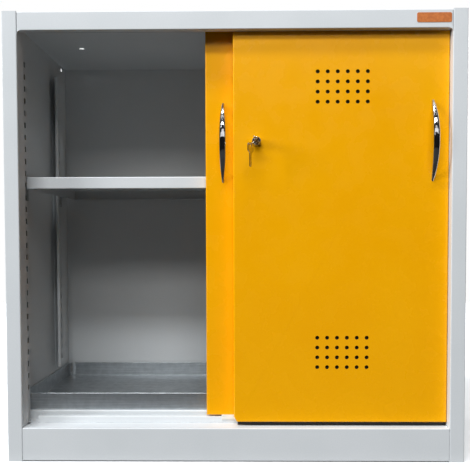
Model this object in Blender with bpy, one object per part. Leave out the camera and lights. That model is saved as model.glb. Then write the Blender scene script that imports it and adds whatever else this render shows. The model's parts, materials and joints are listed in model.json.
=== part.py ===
# Safety storage cabinet: folded sheet-steel body, two sliding doors with bow handles and a
# push lock, slotted shelf columns, one lift-out shelf and a removable spill tray.
# Metres, +Z up, front towards -Y, origin on the floor at the middle of the bounding box.
# The doors stand as photographed, both at the right, with the left half of the opening free.

import math

import bmesh
import bpy
from mathutils import Matrix, Vector

for stale in list(bpy.data.objects):
    bpy.data.objects.remove(stale, do_unlink=True)

# Overall sizes, and what every piece shares
overall_width = 0.920
overall_height = 0.900
overall_depth = 0.420
sheet = 0.001
seat_gap = 0.0003
run_gap = 0.0008
overrun = 0.004
half_share = 0.5

# Corner posts, folded from the side walls
post_face = 0.030
post_return = 0.035
post_jog = 0.008
flange_end = 0.071
rear_lip = 0.015
foot_flange = 0.020

# Slotted columns
slot_width = 0.007
slot_height = 0.011
slot_pitch = 0.025
lowest_slot = 0.137
slot_top_margin = 0.035
slot_from_flange_end = 0.010
upright_from_back = 0.135
upright_reach = 0.045
upright_lip = 0.007
upright_weld_flange = 0.022
upright_slot_inset = 0.011
upright_below_top = 0.053

# Top cap with its fascia
cap_drop = 0.002
fascia_height = 0.036
lip_depth = 0.015
opening_radius = 0.006
cap_rear_flange = 0.018

# Plinth, step and floor, one folded sheet
plinth_clearance = 0.0015
plinth_top = 0.068
plinth_lip = 0.020
step_depth = 0.065
floor_top = 0.086
floor_rear_flange = 0.020
relief_width = 0.006
relief_length = 0.014

# Back wall
back_inset = 0.008
back_clearance = 0.003

# Bottom guide rail
rail_depth = 0.040
rail_width = 0.0126
rail_height = 0.0127
rail_sheet = 0.0012
rail_end_clearance = 0.018

# Spill tray
tray_front_clearance = 0.002
tray_side_clearance = 0.0015
tray_height = 0.0357
tray_corner = 0.014
hem_height = 0.008
hem_thickness = 0.0022

# Shelf and its clips
shelf_top = 0.5795
shelf_thickness = 0.0245
shelf_front = 0.062
shelf_rear_clearance = 0.007
shelf_hem = 0.010
clip_sheet = 0.0012
clip_width = 0.012
clip_ahead_of_slot = 0.002
clip_ledge = 0.020
clip_rise = 0.012
clip_hook_width = 0.004
clip_hook_height = 0.006
clip_hook_depth = 0.004

# Doors
door_thickness = 0.018
front_door_depth = 0.018
door_spacing = 0.004
door_top_tuck = 0.010
door_bend_radius = 0.0025
door_bend_steps = 2
door_rear_lip = 0.012
front_door_left = -0.002
front_door_right_clearance = 0.0015
front_door_bottom = 0.077
rear_door_left = -0.059
rear_door_right_clearance = 0.002
rear_door_bottom = 0.0854
corner_cut_width = 0.006
corner_cut_height = 0.010

# Perforated fields
hole_radius = 0.004
hole_pitch = 0.020
hole_columns = 6
hole_rows = 4
hole_sides = 10
front_field_from_edge = 0.1685
upper_field_below_top = 0.089
lower_field_above_bottom = 0.1118

# Door stiffeners
stiffener_width = 0.044
stiffener_end_clearance = 0.030
stiffener_rear_clearance = 0.005

# Bow handles
handle_length = 0.156
handle_reach = 0.030
handle_below_top = 0.227
handle_mid_width = 0.0130
handle_tip_width = 0.0060
handle_mid_thickness = 0.0070
handle_tip_thickness = 0.0050
front_handle_inset = 0.0315
rear_handle_inset = 0.035
handle_stations = 16
handle_sides = 12
handle_swell_share = 0.8
screw_inset = 0.007
screw_radius = 0.0024
screw_head_radius = 0.0045
screw_head_height = 0.0030
screw_hole_clearance = 0.0004

# Hangers, rollers and the double top track
hanger_inset = 0.020
hanger_width = 0.030
hanger_sheet = 0.002
hanger_foot_depth = 0.012
hanger_plate_inset = 0.009
roller_radius = 0.008
roller_width = 0.006
roller_groove = 0.0008
axle_radius = 0.0025
axle_clearance = 0.0002
axle_head = 0.0012
turned_sides = 20
small_sides = 12
nut_sides = 6
corner_steps = 3
smooth_below = math.radians(40)
track_sheet = 0.001
track_lip_height = 0.0014
track_lip = 0.0085
stop_length = 0.012

# Nylon glides at the feet of the doors
glide_length = 0.030
glide_inset = 0.030
cheek_thickness = 0.0022
glide_cheek_drop = 0.0100
shoe_height = 0.0050
shoe_foot_depth = 0.010
shoe_gap = 0.0010

# Push lock with its key, ring and spare key
lock_from_edge = 0.046
lock_below_handle = 0.0013
lock_radius = 0.0088
lock_proud = 0.015
lock_edge_radius = 0.0012
lock_travel = 0.003
lock_hole_clearance = 0.0004
sleeve_wall = 0.002
sleeve_flange_radius = 0.0145
sleeve_flange_thickness = 0.0015
nut_across = 0.030
nut_thickness = 0.0025
plug_radius = 0.0055
plug_clearance = 0.0003
plug_length = 0.018
plug_proud = 0.0006
keeper_radius = 0.011
keeper_bore_clearance = 0.0012
keeper_depth = 0.006
keeper_flange_radius = 0.0128
blade_thickness = 0.0018
blade_width = 0.0065
blade_length = 0.026
blade_inserted = 0.016
keyway_clearance = 0.0003
bow_width = 0.019
bow_length = 0.021
bow_thickness = 0.0022
bow_hole_radius = 0.0026
bow_hole_inset = 0.0055
key_shoulder = 0.004
key_lean = math.radians(45)
ring_radius = 0.010
ring_wire = 0.0007
ring_droop = math.radians(40)
ring_segments = 20
wire_sides = 6

# Round fixings on the ceiling
fixing_radius = 0.0050
fixing_height = 0.0025
fixing_inset = 0.096
fixing_depth = 0.230

# Levels and depths that follow from the sizes above
half_width = overall_width * half_share
opening_half = half_width - post_face
column_half = opening_half + post_jog
wall_inside = half_width - sheet - seat_gap
back_depth = overall_depth - back_inset
upright_depth = back_depth - upright_from_back
fixing_x = half_width - fixing_inset
cap_top = overall_height - cap_drop
cap_underside = cap_top - sheet
fascia_bottom = cap_top - fascia_height
inner_top = cap_underside - seat_gap
rear_door_depth = front_door_depth + door_thickness + door_spacing
door_top = fascia_bottom + door_top_tuck
handle_height = door_top - handle_below_top
lock_height = handle_height - lock_below_handle
front_door_right = opening_half - front_door_right_clearance
rear_door_right = column_half - rear_door_right_clearance
rear_door_travel = rear_door_left + column_half - rear_door_right_clearance
lock_x = front_door_left + lock_from_edge
lock_face_depth = front_door_depth - lock_proud
bow_hole_depth = lock_face_depth - key_shoulder - bow_length + bow_hole_inset
ring_centre_depth = bow_hole_depth - ring_radius * math.cos(ring_droop)
key_reach = ring_radius + ring_wire - ring_centre_depth
front_y = (key_reach - overall_depth) * half_share
front_handle_x = front_door_right - front_handle_inset
rear_handle_x = rear_door_left + rear_handle_inset
tray_front = flange_end + tray_front_clearance
tray_rear = back_depth - tray_front_clearance - sheet
tray_half = wall_inside - tray_side_clearance
tray_base = floor_top + seat_gap
shelf_half = column_half - clip_sheet - seat_gap - seat_gap
shelf_back = back_depth - shelf_rear_clearance
shelf_bottom = shelf_top - shelf_thickness
clip_ledge_top = shelf_bottom - seat_gap
slot_count = math.ceil((fascia_bottom - slot_top_margin - lowest_slot) / slot_pitch)


def at_depth(depth):
    """Y of a plane this far behind the posts' front face."""
    return front_y + depth


# Materials
def srgb(code):
    """Linear colour of an sRGB hex code."""
    parts = [int(code[i:i + 2], 16) / 255 for i in (0, 2, 4)]
    return [c / 12.92 if c <= 0.04045 else ((c + 0.055) / 1.055) ** 2.4 for c in parts]


def material(name, code, roughness, metallic):
    made = bpy.data.materials.new(name)
    made.use_nodes = True
    shader = made.node_tree.nodes["Principled BSDF"]
    shader.inputs["Base Color"].default_value = srgb(code) + [1]
    shader.inputs["Roughness"].default_value = roughness
    shader.inputs["Metallic"].default_value = metallic
    made.diffuse_color = srgb(code) + [1]
    return made


finishes = {
    "grey_coat": ("D3D8DB", 0.45, 0.0),
    "yellow_coat": ("F3A70F", 0.40, 0.0),
    "chrome": ("D9DBDD", 0.08, 1.0),
    "galvanised": ("AEB3B8", 0.38, 1.0),
    "zinc_steel": ("B9BDC2", 0.30, 1.0),
    "nickel": ("C9C6BE", 0.20, 1.0),
    "black_nylon": ("1D1E20", 0.55, 0.0),
    "white_nylon": ("E4E4DF", 0.50, 0.0),
    "black_rubber": ("161616", 0.85, 0.0),
}


# Meshes
def outline_prism(outline, axis, start, end):
    """A closed solid: a flat outline drawn across an axis and extruded along it."""
    order = {"X": (1, 2), "Y": (0, 2), "Z": (0, 1)}[axis]
    along = "XYZ".index(axis)
    low, high = min(start, end), max(start, end)
    shape = bmesh.new()
    ring = []
    for point in outline:
        place = [0, 0, 0]
        place[order[0]], place[order[1]] = point
        place[along] = low
        ring.append(shape.verts.new(place))
    face = shape.faces.new(ring)
    grown = bmesh.ops.extrude_face_region(shape, geom=[face])
    moved = [item for item in grown["geom"] if isinstance(item, bmesh.types.BMVert)]
    step = Vector([0, 0, 0])
    step[along] = high - low
    bmesh.ops.translate(shape, verts=moved, vec=step)
    bmesh.ops.recalc_face_normals(shape, faces=shape.faces)
    return shape


def block(x_span, y_span, z_span):
    """A box between two planes on each axis."""
    outline = [(x_span[0], y_span[0]), (x_span[1], y_span[0]),
               (x_span[1], y_span[1]), (x_span[0], y_span[1])]
    return outline_prism(outline, "Z", z_span[0], z_span[1])


def folded_sheet(path, thickness):
    """Outline of a sheet folded along a path, its metal on the right of the way walked."""
    count = len(path)
    inner = []
    for index, point in enumerate(path):
        here = Vector(point)
        before = (here - Vector(path[index - 1])).normalized() if index else None
        after = (Vector(path[index + 1]) - here).normalized() if index < count - 1 else None
        before = before or after
        after = after or before
        side = Vector((before.y, -before.x)) + Vector((after.y, -after.x))
        side.normalize()
        reach = thickness / side.dot(Vector((after.y, -after.x)))
        inner.append(tuple(here + side * reach))
    return list(path) + inner[::-1]


def disc_outline(radius, sides, centre=(0, 0), turn=0.0):
    """Points round a circle."""
    step = math.tau / sides
    return [(centre[0] + radius * math.cos(turn + step * i),
             centre[1] + radius * math.sin(turn + step * i)) for i in range(sides)]


def corner_arc(centre, radius, first, last, steps):
    """Points along part of a circle, both ends included, angles in degrees."""
    turns = [math.radians(first + (last - first) * i / steps) for i in range(steps + 1)]
    return [(centre[0] + radius * math.cos(t), centre[1] + radius * math.sin(t)) for t in turns]


def rounded_rectangle(half_x, low_y, high_y, radius, steps):
    """A rectangle about X = 0 with four round corners."""
    points = corner_arc((half_x - radius, low_y + radius), radius, -90, 0, steps)
    points += corner_arc((half_x - radius, high_y - radius), radius, 0, 90, steps)
    points += corner_arc((radius - half_x, high_y - radius), radius, 90, 180, steps)
    points += corner_arc((radius - half_x, low_y + radius), radius, 180, 270, steps)
    return points


def turned(profile, centre, sides):
    """A turned solid about an axis along Y: profile points are (radius, y), ends on the axis."""
    shape = bmesh.new()
    rings = []
    for radius, y in profile:
        if radius == 0:
            rings.append([shape.verts.new((centre[0], y, centre[1]))])
        else:
            rings.append([shape.verts.new((x, y, z)) for x, z in disc_outline(radius, sides, centre)])
    for near, far in zip(rings, rings[1:]):
        join_rings(shape, near, far)
    bmesh.ops.recalc_face_normals(shape, faces=shape.faces)
    return shape


def turned_tube(profile, centre, sides):
    """A turned ring about an axis along Y, its closed profile given as (radius, y)."""
    shape = bmesh.new()
    rings = [[shape.verts.new((x, y, z)) for x, z in disc_outline(radius, sides, centre)]
             for radius, y in profile]
    for near, far in zip(rings, rings[1:] + rings[:1]):
        join_rings(shape, near, far)
    bmesh.ops.recalc_face_normals(shape, faces=shape.faces)
    return shape


def join_rings(shape, near, far):
    """Faces between two rings of points, either of which may be a single point."""
    sides = max(len(near), len(far))
    for i in range(sides):
        after = (i + 1) % sides
        if len(near) == 1:
            shape.faces.new((near[0], far[i], far[after]))
        elif len(far) == 1:
            shape.faces.new((near[i], far[0], near[after]))
        else:
            shape.faces.new((near[i], far[i], far[after], near[after]))


def join(shapes):
    """Several separate solids in one mesh."""
    whole = bmesh.new()
    for shape in shapes:
        mesh = bpy.data.meshes.new("joined")
        shape.to_mesh(mesh)
        shape.free()
        whole.from_mesh(mesh)
        bpy.data.meshes.remove(mesh)
    return whole


# Objects
slots = {name: material(name, *values) for name, values in finishes.items()}


def helper(shape, name):
    """A hidden solid that a Boolean modifier reads."""
    mesh = bpy.data.meshes.new(name)
    shape.to_mesh(mesh)
    shape.free()
    made = bpy.data.objects.new(name, mesh)
    made.hide_render = True
    made.display_type = "WIRE"
    bpy.context.scene.collection.objects.link(made)
    return made


def node(name, finish, shape, add=(), cut=(), origin=(0, 0, 0), carrier=None, smooth=False):
    """One named piece: its solid, what is joined to it and cut from it, and its own origin."""
    bmesh.ops.translate(shape, verts=shape.verts, vec=-Vector(origin))
    mesh = bpy.data.meshes.new(name)
    shape.to_mesh(mesh)
    shape.free()
    if smooth:
        mesh.shade_smooth()
        mesh.set_sharp_from_angle(angle=smooth_below)
    mesh.materials.append(slots[finish].copy())
    mesh.materials[0].name = name + "_" + finish
    made = bpy.data.objects.new(name, mesh)
    made.location = origin
    if carrier is not None:
        made.parent = carrier
        made.location = Vector(origin) - carrier.location
    bpy.context.scene.collection.objects.link(made)
    for kind, others in (("UNION", add), ("DIFFERENCE", cut)):
        for number, other in enumerate(others):
            step = made.modifiers.new(kind.lower() + str(number), "BOOLEAN")
            step.operation = kind
            step.solver = "EXACT"
            step.object = helper(other, name + "_" + kind.lower() + str(number))
    return made


def carrier_empty(name, place):
    """The empty that a moving group hangs from."""
    made = bpy.data.objects.new(name, None)
    made.location = place
    bpy.context.scene.collection.objects.link(made)
    return made


def mirrored(outline, side):
    """An outline drawn for the right (+1) or the left (-1) side."""
    points = [(side * x, y) for x, y in outline]
    return points if side > 0 else points[::-1]


# Body
def column_slots(side, centre_depth):
    """The row of hook slots through a column's inner face."""
    y = at_depth(centre_depth)
    wide = slot_width * half_share
    tall = slot_height * half_share
    reach = (side * (column_half - overrun), side * (column_half + overrun))
    levels = [lowest_slot + slot_pitch * i for i in range(slot_count)]
    return join([block(sorted(reach), (y - wide, y + wide), (z - tall, z + tall)) for z in levels])


def side_panel(side, name):
    """Side wall with its folded post, slotted front column, rear lip and foot flange."""
    path = [(column_half, at_depth(flange_end)), (column_half, at_depth(post_return)),
            (opening_half, at_depth(post_return)), (opening_half, at_depth(0)),
            (half_width, at_depth(0)), (half_width, at_depth(overall_depth)),
            (half_width - rear_lip, at_depth(overall_depth))]
    outline = mirrored(folded_sheet(path, -sheet), side)
    wall = outline_prism(outline, "Z", 0, overall_height)
    foot = block(sorted((side * (half_width - foot_flange), side * (half_width - sheet * half_share))),
                 (at_depth(sheet * half_share), at_depth(overall_depth - sheet * half_share)), (0, sheet))
    head_room = block(sorted((side * (half_width - sheet), side * (opening_half - overrun))),
                      (at_depth(sheet), at_depth(overall_depth + overrun)),
                      (inner_top, overall_height + overrun))
    node(name, "grey_coat", wall, add=[foot],
         cut=[head_room, column_slots(side, flange_end - slot_from_flange_end)])


def rear_upright(side, name):
    """Lipped channel, open to the front, welded to the side wall. It carries the rear row of slots."""
    near = at_depth(upright_depth)
    far = at_depth(upright_depth + upright_reach)
    path = [(column_half + upright_lip, near), (column_half, near), (column_half, far), (wall_inside, far),
            (wall_inside, far - upright_weld_flange)]
    outline = mirrored(folded_sheet(path, sheet), side)
    bottom = tray_base + tray_height + run_gap
    column = outline_prism(outline, "Z", bottom, inner_top - upright_below_top)
    node(name, "grey_coat", column, cut=[column_slots(side, upright_depth + upright_slot_inset)])


def top_cap():
    """Top sheet folded down into the fascia, with a lip behind its lower edge."""
    half = opening_half - seat_gap
    path = [(at_depth(lip_depth), fascia_bottom), (at_depth(0), fascia_bottom), (at_depth(0), cap_top),
            (at_depth(overall_depth - sheet - seat_gap), cap_top),
            (at_depth(overall_depth - sheet - seat_gap), cap_top - cap_rear_flange)]
    cap = outline_prism(folded_sheet(path, sheet), "X", -half, half)
    wings = [block(sorted((side * (half - overrun), side * wall_inside)),
                   (at_depth(sheet + seat_gap), at_depth(overall_depth - sheet - seat_gap)),
                   (cap_underside, cap_top)) for side in (-1, 1)]
    fillets = []
    for side in (-1, 1):
        centre = (half - opening_radius, fascia_bottom - opening_radius)
        arc = corner_arc(centre, opening_radius, 90, 0, corner_steps)
        corner = [(half, fascia_bottom + sheet)] + [(half - opening_radius, fascia_bottom + sheet)] + arc
        fillets.append(outline_prism(mirrored(corner, side), "Y", at_depth(0), at_depth(sheet)))
    node("top_cap", "grey_coat", cap, add=wings + fillets)


def floor_pan():
    """Plinth, step and floor in one folded sheet that widens behind the posts."""
    half = opening_half - seat_gap
    rear = back_depth - seat_gap
    path = [(at_depth(plinth_lip), plinth_clearance), (at_depth(0), plinth_clearance),
            (at_depth(0), plinth_top), (at_depth(step_depth), plinth_top),
            (at_depth(step_depth), floor_top), (at_depth(rear), floor_top),
            (at_depth(rear), floor_top - floor_rear_flange)]
    pan = outline_prism(folded_sheet(path, sheet), "X", -half, half)
    wings = [block(sorted((side * (half - overrun), side * wall_inside)),
                   (at_depth(flange_end + seat_gap), at_depth(rear)),
                   (floor_top - sheet, floor_top)) for side in (-1, 1)]
    path = [(at_depth(post_return + seat_gap), plinth_top), (at_depth(step_depth), plinth_top),
            (at_depth(step_depth), floor_top), (at_depth(flange_end + overrun), floor_top)]
    tread = folded_sheet(path, sheet)
    treads = [outline_prism(tread, "X", *sorted((side * (half - overrun), side * (column_half - seat_gap))))
              for side in (-1, 1)]
    wide = relief_width * half_share
    long = relief_length * half_share
    reliefs = [block(sorted((side * (half - wide), side * (half + wide))),
                     (at_depth(post_return - long), at_depth(post_return + long)),
                     (plinth_top - sheet - overrun, plinth_top + overrun)) for side in (-1, 1)]
    node("floor_pan", "grey_coat", pan, add=wings + treads, cut=reliefs)


def back_wall():
    """Back sheet with its four edges folded to the rear."""
    fold = overall_depth - sheet - seat_gap - sheet - seat_gap
    outer = block((-wall_inside, wall_inside), (at_depth(back_depth), at_depth(fold)),
                  (back_clearance, inner_top))
    hollow = block((sheet - wall_inside, wall_inside - sheet),
                   (at_depth(back_depth + sheet), at_depth(fold + overrun)),
                   (back_clearance + sheet, inner_top - sheet))
    node("back_wall", "grey_coat", outer, cut=[hollow])


def guide_rail():
    """Turned-down channel on the plinth that guides both doors at their feet."""
    low = plinth_top + seat_gap
    path = [(at_depth(rail_depth), low), (at_depth(rail_depth), low + rail_height),
            (at_depth(rail_depth + rail_width), low + rail_height), (at_depth(rail_depth + rail_width), low)]
    half = opening_half - rail_end_clearance
    node("guide_rail", "grey_coat", outline_prism(folded_sheet(path, rail_sheet), "X", -half, half))


def spill_tray():
    """Galvanised pan with round upright corners and a rim hemmed to the inside."""
    top = tray_base + tray_height
    front, rear = at_depth(tray_front), at_depth(tray_rear)

    def inset(amount):
        return rounded_rectangle(tray_half - amount, front + amount, rear - amount, tray_corner - amount,
                                 corner_steps)

    body = outline_prism(inset(0), "Z", tray_base, top)
    basin = outline_prism(inset(sheet), "Z", tray_base + sheet, top - hem_height)
    mouth = outline_prism(inset(hem_thickness), "Z", tray_base + sheet + sheet, top + overrun)
    node("spill_tray", "galvanised", body, cut=[basin, mouth])


def shelf():
    """Shelf folded down on four sides, with stiffening hems under its front and rear edges."""
    path = [(at_depth(shelf_front + shelf_hem), shelf_bottom), (at_depth(shelf_front), shelf_bottom),
            (at_depth(shelf_front), shelf_top), (at_depth(shelf_back), shelf_top),
            (at_depth(shelf_back), shelf_bottom), (at_depth(shelf_back - shelf_hem), shelf_bottom)]
    plate = outline_prism(folded_sheet(path, sheet), "X", -shelf_half, shelf_half)
    ends = [block(sorted((side * (shelf_half - sheet), side * shelf_half)),
                  (at_depth(shelf_front + sheet * half_share), at_depth(shelf_back - sheet * half_share)),
                  (shelf_bottom, shelf_top - sheet * half_share)) for side in (-1, 1)]
    node("shelf", "grey_coat", plate, add=ends)


def shelf_clip(side, centre_depth, name):
    """Clip hooked into two slots, with a ledge under the shelf's end."""
    y = at_depth(centre_depth)
    near = y - clip_ahead_of_slot
    far = near + clip_width
    face = column_half - seat_gap
    level = (clip_ledge_top - lowest_slot) / slot_pitch
    hooked = [lowest_slot + slot_pitch * i for i in (math.floor(level), math.ceil(level))]
    bottom = min(hooked) - slot_height * half_share - clip_sheet
    path = [(face - clip_ledge, clip_ledge_top), (face, clip_ledge_top), (face, bottom)]
    angle = outline_prism(mirrored(folded_sheet(path, clip_sheet), side), "Y", near, far)
    rise = block(sorted((side * (face - clip_sheet), side * face)), (near, far),
                 (clip_ledge_top - clip_sheet, max(hooked) + clip_hook_height))
    wide = clip_hook_width * half_share
    tall = clip_hook_height * half_share
    hooks = [block(sorted((side * (face - clip_sheet * half_share), side * (face + clip_hook_depth))),
                   (y - wide, y + wide), (z - tall, z + tall)) for z in hooked]
    node(name, "zinc_steel", angle, add=[rise] + hooks)


def ceiling_fixing(side, name):
    """Low round head under the top sheet."""
    outline = disc_outline(fixing_radius, small_sides, (side * fixing_x, at_depth(fixing_depth)))
    head = outline_prism(outline, "Z", cap_underside - seat_gap - fixing_height, cap_underside - seat_gap)
    node(name, "zinc_steel", head, smooth=True)


# Double top track
track_front = front_door_depth
lip_top = door_top + seat_gap + hanger_sheet + seat_gap + track_lip_height + track_sheet
roller_z = lip_top + seat_gap + roller_radius


def web_depths():
    """Depths of the track's three webs: before, between and behind the doors."""
    return (track_front, rear_door_depth, rear_door_depth + door_thickness)


def top_track():
    """Extruded track under the top sheet: two running ledges, one for each door."""
    half = opening_half - seat_gap
    webs = web_depths()
    first, second, third = [at_depth(web) for web in webs]
    roof = inner_top - track_sheet
    ledge = lip_top - track_sheet
    outline = [(first, inner_top), (first, ledge), (first + track_lip, ledge), (first + track_lip, lip_top),
               (first + track_sheet, lip_top), (first + track_sheet, roof),
               (second, roof), (second, ledge), (second + track_lip, ledge),
               (second + track_lip, lip_top), (second + track_sheet, lip_top), (second + track_sheet, roof),
               (third, roof), (third, ledge), (third + track_sheet, ledge), (third + track_sheet, inner_top)]
    node("top_track", "galvanised", outline_prism(outline, "X", -half, half))


def track_stop(side, web, name):
    """Rubber block that ends a door's travel inside the track."""
    end = opening_half - seat_gap
    low = at_depth(web + track_sheet + seat_gap)
    span = sorted((side * (end - stop_length), side * end))
    high = low + track_lip + hanger_sheet
    levels = (lip_top + seat_gap, inner_top - track_sheet - seat_gap)
    node(name, "black_rubber", block(span, (low, high), levels))


# Doors
def hole_field(first_x, first_z, rising, depth):
    """Punches for one perforated field, its rows and columns counted from one corner."""
    punches = []
    for column in range(hole_columns):
        for row in range(hole_rows):
            centre = (first_x + hole_pitch * column, first_z + rising * hole_pitch * row)
            outline = disc_outline(hole_radius, hole_sides, centre)
            punches.append(outline_prism(outline, "Y", at_depth(depth - overrun), at_depth(depth + overrun)))
    return punches


def round_punch(x, z, radius, near, far, sides=turned_sides):
    """A straight round cutter along Y."""
    return outline_prism(disc_outline(radius, sides, (x, z)), "Y", at_depth(near), at_depth(far))


def door_panel(name, left, right, bottom, depth, punches, corner_cut, carrier, origin):
    """Sheet door: a pan with bent edges, rear lips, handle holes and perforated fields."""
    outline = [(left, bottom), (right, bottom), (right, door_top), (left, door_top)]
    if corner_cut:
        outline[:1] = [(left, bottom + corner_cut_height), (left + corner_cut_width, bottom)]
    pan = outline_prism(outline, "Y", at_depth(depth), at_depth(depth + door_thickness))
    near = at_depth(depth)
    face = [f for f in pan.faces if abs(f.calc_center_median().y - near) < seat_gap]
    bmesh.ops.bevel(pan, geom=list(face[0].edges), offset=door_bend_radius, segments=door_bend_steps,
                    profile=half_share, affect="EDGES")
    inner_left = left + sheet + (corner_cut_width if corner_cut else 0)
    room = block((left + sheet, right - sheet),
                 (at_depth(depth + sheet), at_depth(depth + door_thickness - sheet)),
                 (bottom + sheet + (corner_cut_height if corner_cut else 0), door_top - sheet))
    mouth = block((left + door_rear_lip, right - door_rear_lip),
                  (at_depth(depth + door_thickness * half_share), at_depth(depth + door_thickness + overrun)),
                  (bottom + door_rear_lip, door_top - door_rear_lip))
    cutters = [room, mouth, join(punches)]
    if corner_cut:
        low_room = block((inner_left, right - sheet),
                         (at_depth(depth + sheet), at_depth(depth + door_thickness - sheet)),
                         (bottom + sheet, bottom + corner_cut_height + overrun))
        cutters.insert(1, low_room)
    node(name, "yellow_coat", pan, cut=cutters, origin=origin, carrier=carrier)


def stiffener(name, middle, bottom, depth, cut, carrier):
    """Channel behind the door's face, open to the front, that stops the face from drumming."""
    near = at_depth(depth + sheet + seat_gap)
    far = at_depth(depth + door_thickness - stiffener_rear_clearance)
    half = stiffener_width * half_share
    path = [(middle + half, near), (middle + half, far), (middle - half, far), (middle - half, near)]
    channel = outline_prism(folded_sheet(path, -sheet), "Z", bottom + stiffener_end_clearance,
                            door_top - stiffener_end_clearance)
    node(name, "yellow_coat", channel, cut=cut, carrier=carrier)


def bow_handle(name, x, depth, carrier):
    """Bow of oval section, widest in the middle, whose feet are cut flush with the door."""
    half = handle_length * half_share
    foot_y = at_depth(depth) - seat_gap
    rise = handle_reach - handle_mid_thickness * half_share
    radius = (half * half + rise * rise) / (rise + rise)
    spread = math.asin(half / radius)
    centre_y = foot_y - rise + radius
    shape = bmesh.new()
    rings = []
    for station in range(handle_stations + 1):
        share = station / handle_stations
        turn = spread * (share + share - 1)
        swell = math.sin(math.pi * share) ** handle_swell_share
        wide = (handle_tip_width + (handle_mid_width - handle_tip_width) * swell) * half_share
        thick = (handle_tip_thickness + (handle_mid_thickness - handle_tip_thickness) * swell) * half_share
        outward = Vector((0, -math.cos(turn), math.sin(turn)))
        tangent = Vector((0, math.sin(turn), math.cos(turn)))
        middle = Vector((x, centre_y, handle_height)) + outward * radius
        ring = []
        for side in range(handle_sides):
            angle = math.tau * side / handle_sides
            point = middle + Vector((wide * math.cos(angle), 0, 0)) + outward * thick * math.sin(angle)
            if station in (0, handle_stations):
                point = point + tangent * ((foot_y - point.y) / tangent.y)
            ring.append(shape.verts.new(point))
        rings.append(ring)
    for near, far in zip(rings, rings[1:]):
        join_rings(shape, near, far)
    shape.faces.new(rings[0])
    shape.faces.new(rings[-1])
    bmesh.ops.recalc_face_normals(shape, faces=shape.faces)
    node(name, "chrome", shape, carrier=carrier, smooth=True)


def handle_screw_heights():
    """Heights of the two screws behind a handle's feet."""
    reach = handle_length * half_share - screw_inset
    return (handle_height - reach, handle_height + reach)


def handle_screw(name, x, z, depth, carrier):
    """Screw through the door's face into a handle's foot."""
    head_y = at_depth(depth + sheet + seat_gap)
    profile = [(0, at_depth(depth)), (screw_radius, at_depth(depth)), (screw_radius, head_y),
               (screw_head_radius, head_y), (screw_head_radius, head_y + screw_head_height),
               (0, head_y + screw_head_height)]
    node(name, "zinc_steel", turned(profile, (x, z), small_sides), carrier=carrier, smooth=True)


def hanger(name, x, depth, carrier):
    """Foot and plate on a door's top edge, with the axle of its roller."""
    half = hanger_width * half_share
    foot_low = door_top + seat_gap
    plate_near = at_depth(depth + hanger_plate_inset)
    foot_near = plate_near - (hanger_foot_depth - hanger_sheet) * half_share
    foot = block((x - half, x + half), (foot_near, foot_near + hanger_foot_depth),
                 (foot_low, foot_low + hanger_sheet))
    plate_top = roller_z + axle_radius + hanger_sheet
    slim = half - hanger_sheet - hanger_sheet
    foot_middle = foot_low + hanger_sheet * half_share
    outline = [(x - half, foot_middle), (x + half, foot_middle),
               (x + half, lip_top), (x + slim * half_share, plate_top), (x - slim * half_share, plate_top),
               (x - half, lip_top)]
    plate = outline_prism(outline, "Y", plate_near, plate_near + hanger_sheet)
    roller_far = plate_near - seat_gap
    roller_near = roller_far - roller_width
    head_near = roller_near - seat_gap - axle_head * half_share
    head_radius = axle_radius + axle_head
    profile = [(0, head_near), (head_radius, head_near), (head_radius, roller_near - seat_gap),
               (axle_radius, roller_near - seat_gap), (axle_radius, plate_near + hanger_sheet * half_share),
               (0, plate_near + hanger_sheet * half_share)]
    axle = turned(profile, (x, roller_z), turned_sides)
    node(name, "zinc_steel", foot, add=[plate, axle], carrier=carrier)
    return roller_near, roller_far


def roller(name, x, span, carrier):
    """Grooved nylon roller, its origin on its axle."""
    near, far = span
    middle = (near + far) * half_share
    bore = axle_radius + axle_clearance
    profile = [(bore, near), (roller_radius - roller_groove, near), (roller_radius, near + roller_groove),
               (roller_radius, far - roller_groove), (roller_radius - roller_groove, far), (bore, far)]
    node(name, "white_nylon", turned_tube(profile, (x, roller_z), turned_sides),
         origin=(x, middle, roller_z), carrier=carrier, smooth=True)


def front_shoe(name, x, carrier):
    """Nylon shoe under the front door that bears on the rail's front face."""
    half = glide_length * half_share
    top = front_door_bottom - seat_gap
    low = plinth_top + run_gap
    back = at_depth(rail_depth) - seat_gap
    foot_front = at_depth(front_door_depth + door_thickness - shoe_foot_depth)
    outline = [(foot_front, top), (foot_front, low), (back, low), (back, low + shoe_height),
               (at_depth(front_door_depth + door_thickness) - sheet, low + shoe_height),
               (at_depth(front_door_depth + door_thickness) - sheet, top)]
    node(name, "black_nylon", outline_prism(outline, "X", x - half, x + half), carrier=carrier)


def rear_glide(name, x, carrier):
    """Nylon glide under the rear door whose two cheeks straddle the rail."""
    half = glide_length * half_share
    top = rear_door_bottom - seat_gap
    rail_top = plinth_top + seat_gap + rail_height
    crown = rail_top + seat_gap
    low = top - glide_cheek_drop
    front_in = at_depth(rail_depth) - seat_gap
    rear_in = at_depth(rail_depth + rail_width) + seat_gap
    outline = [(front_in - cheek_thickness, top), (front_in - cheek_thickness, low), (front_in, low),
               (front_in, crown), (rear_in, crown), (rear_in, low), (rear_in + cheek_thickness, low),
               (rear_in + cheek_thickness, top)]
    node(name, "black_nylon", outline_prism(outline, "X", x - half, x + half), carrier=carrier)


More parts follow.
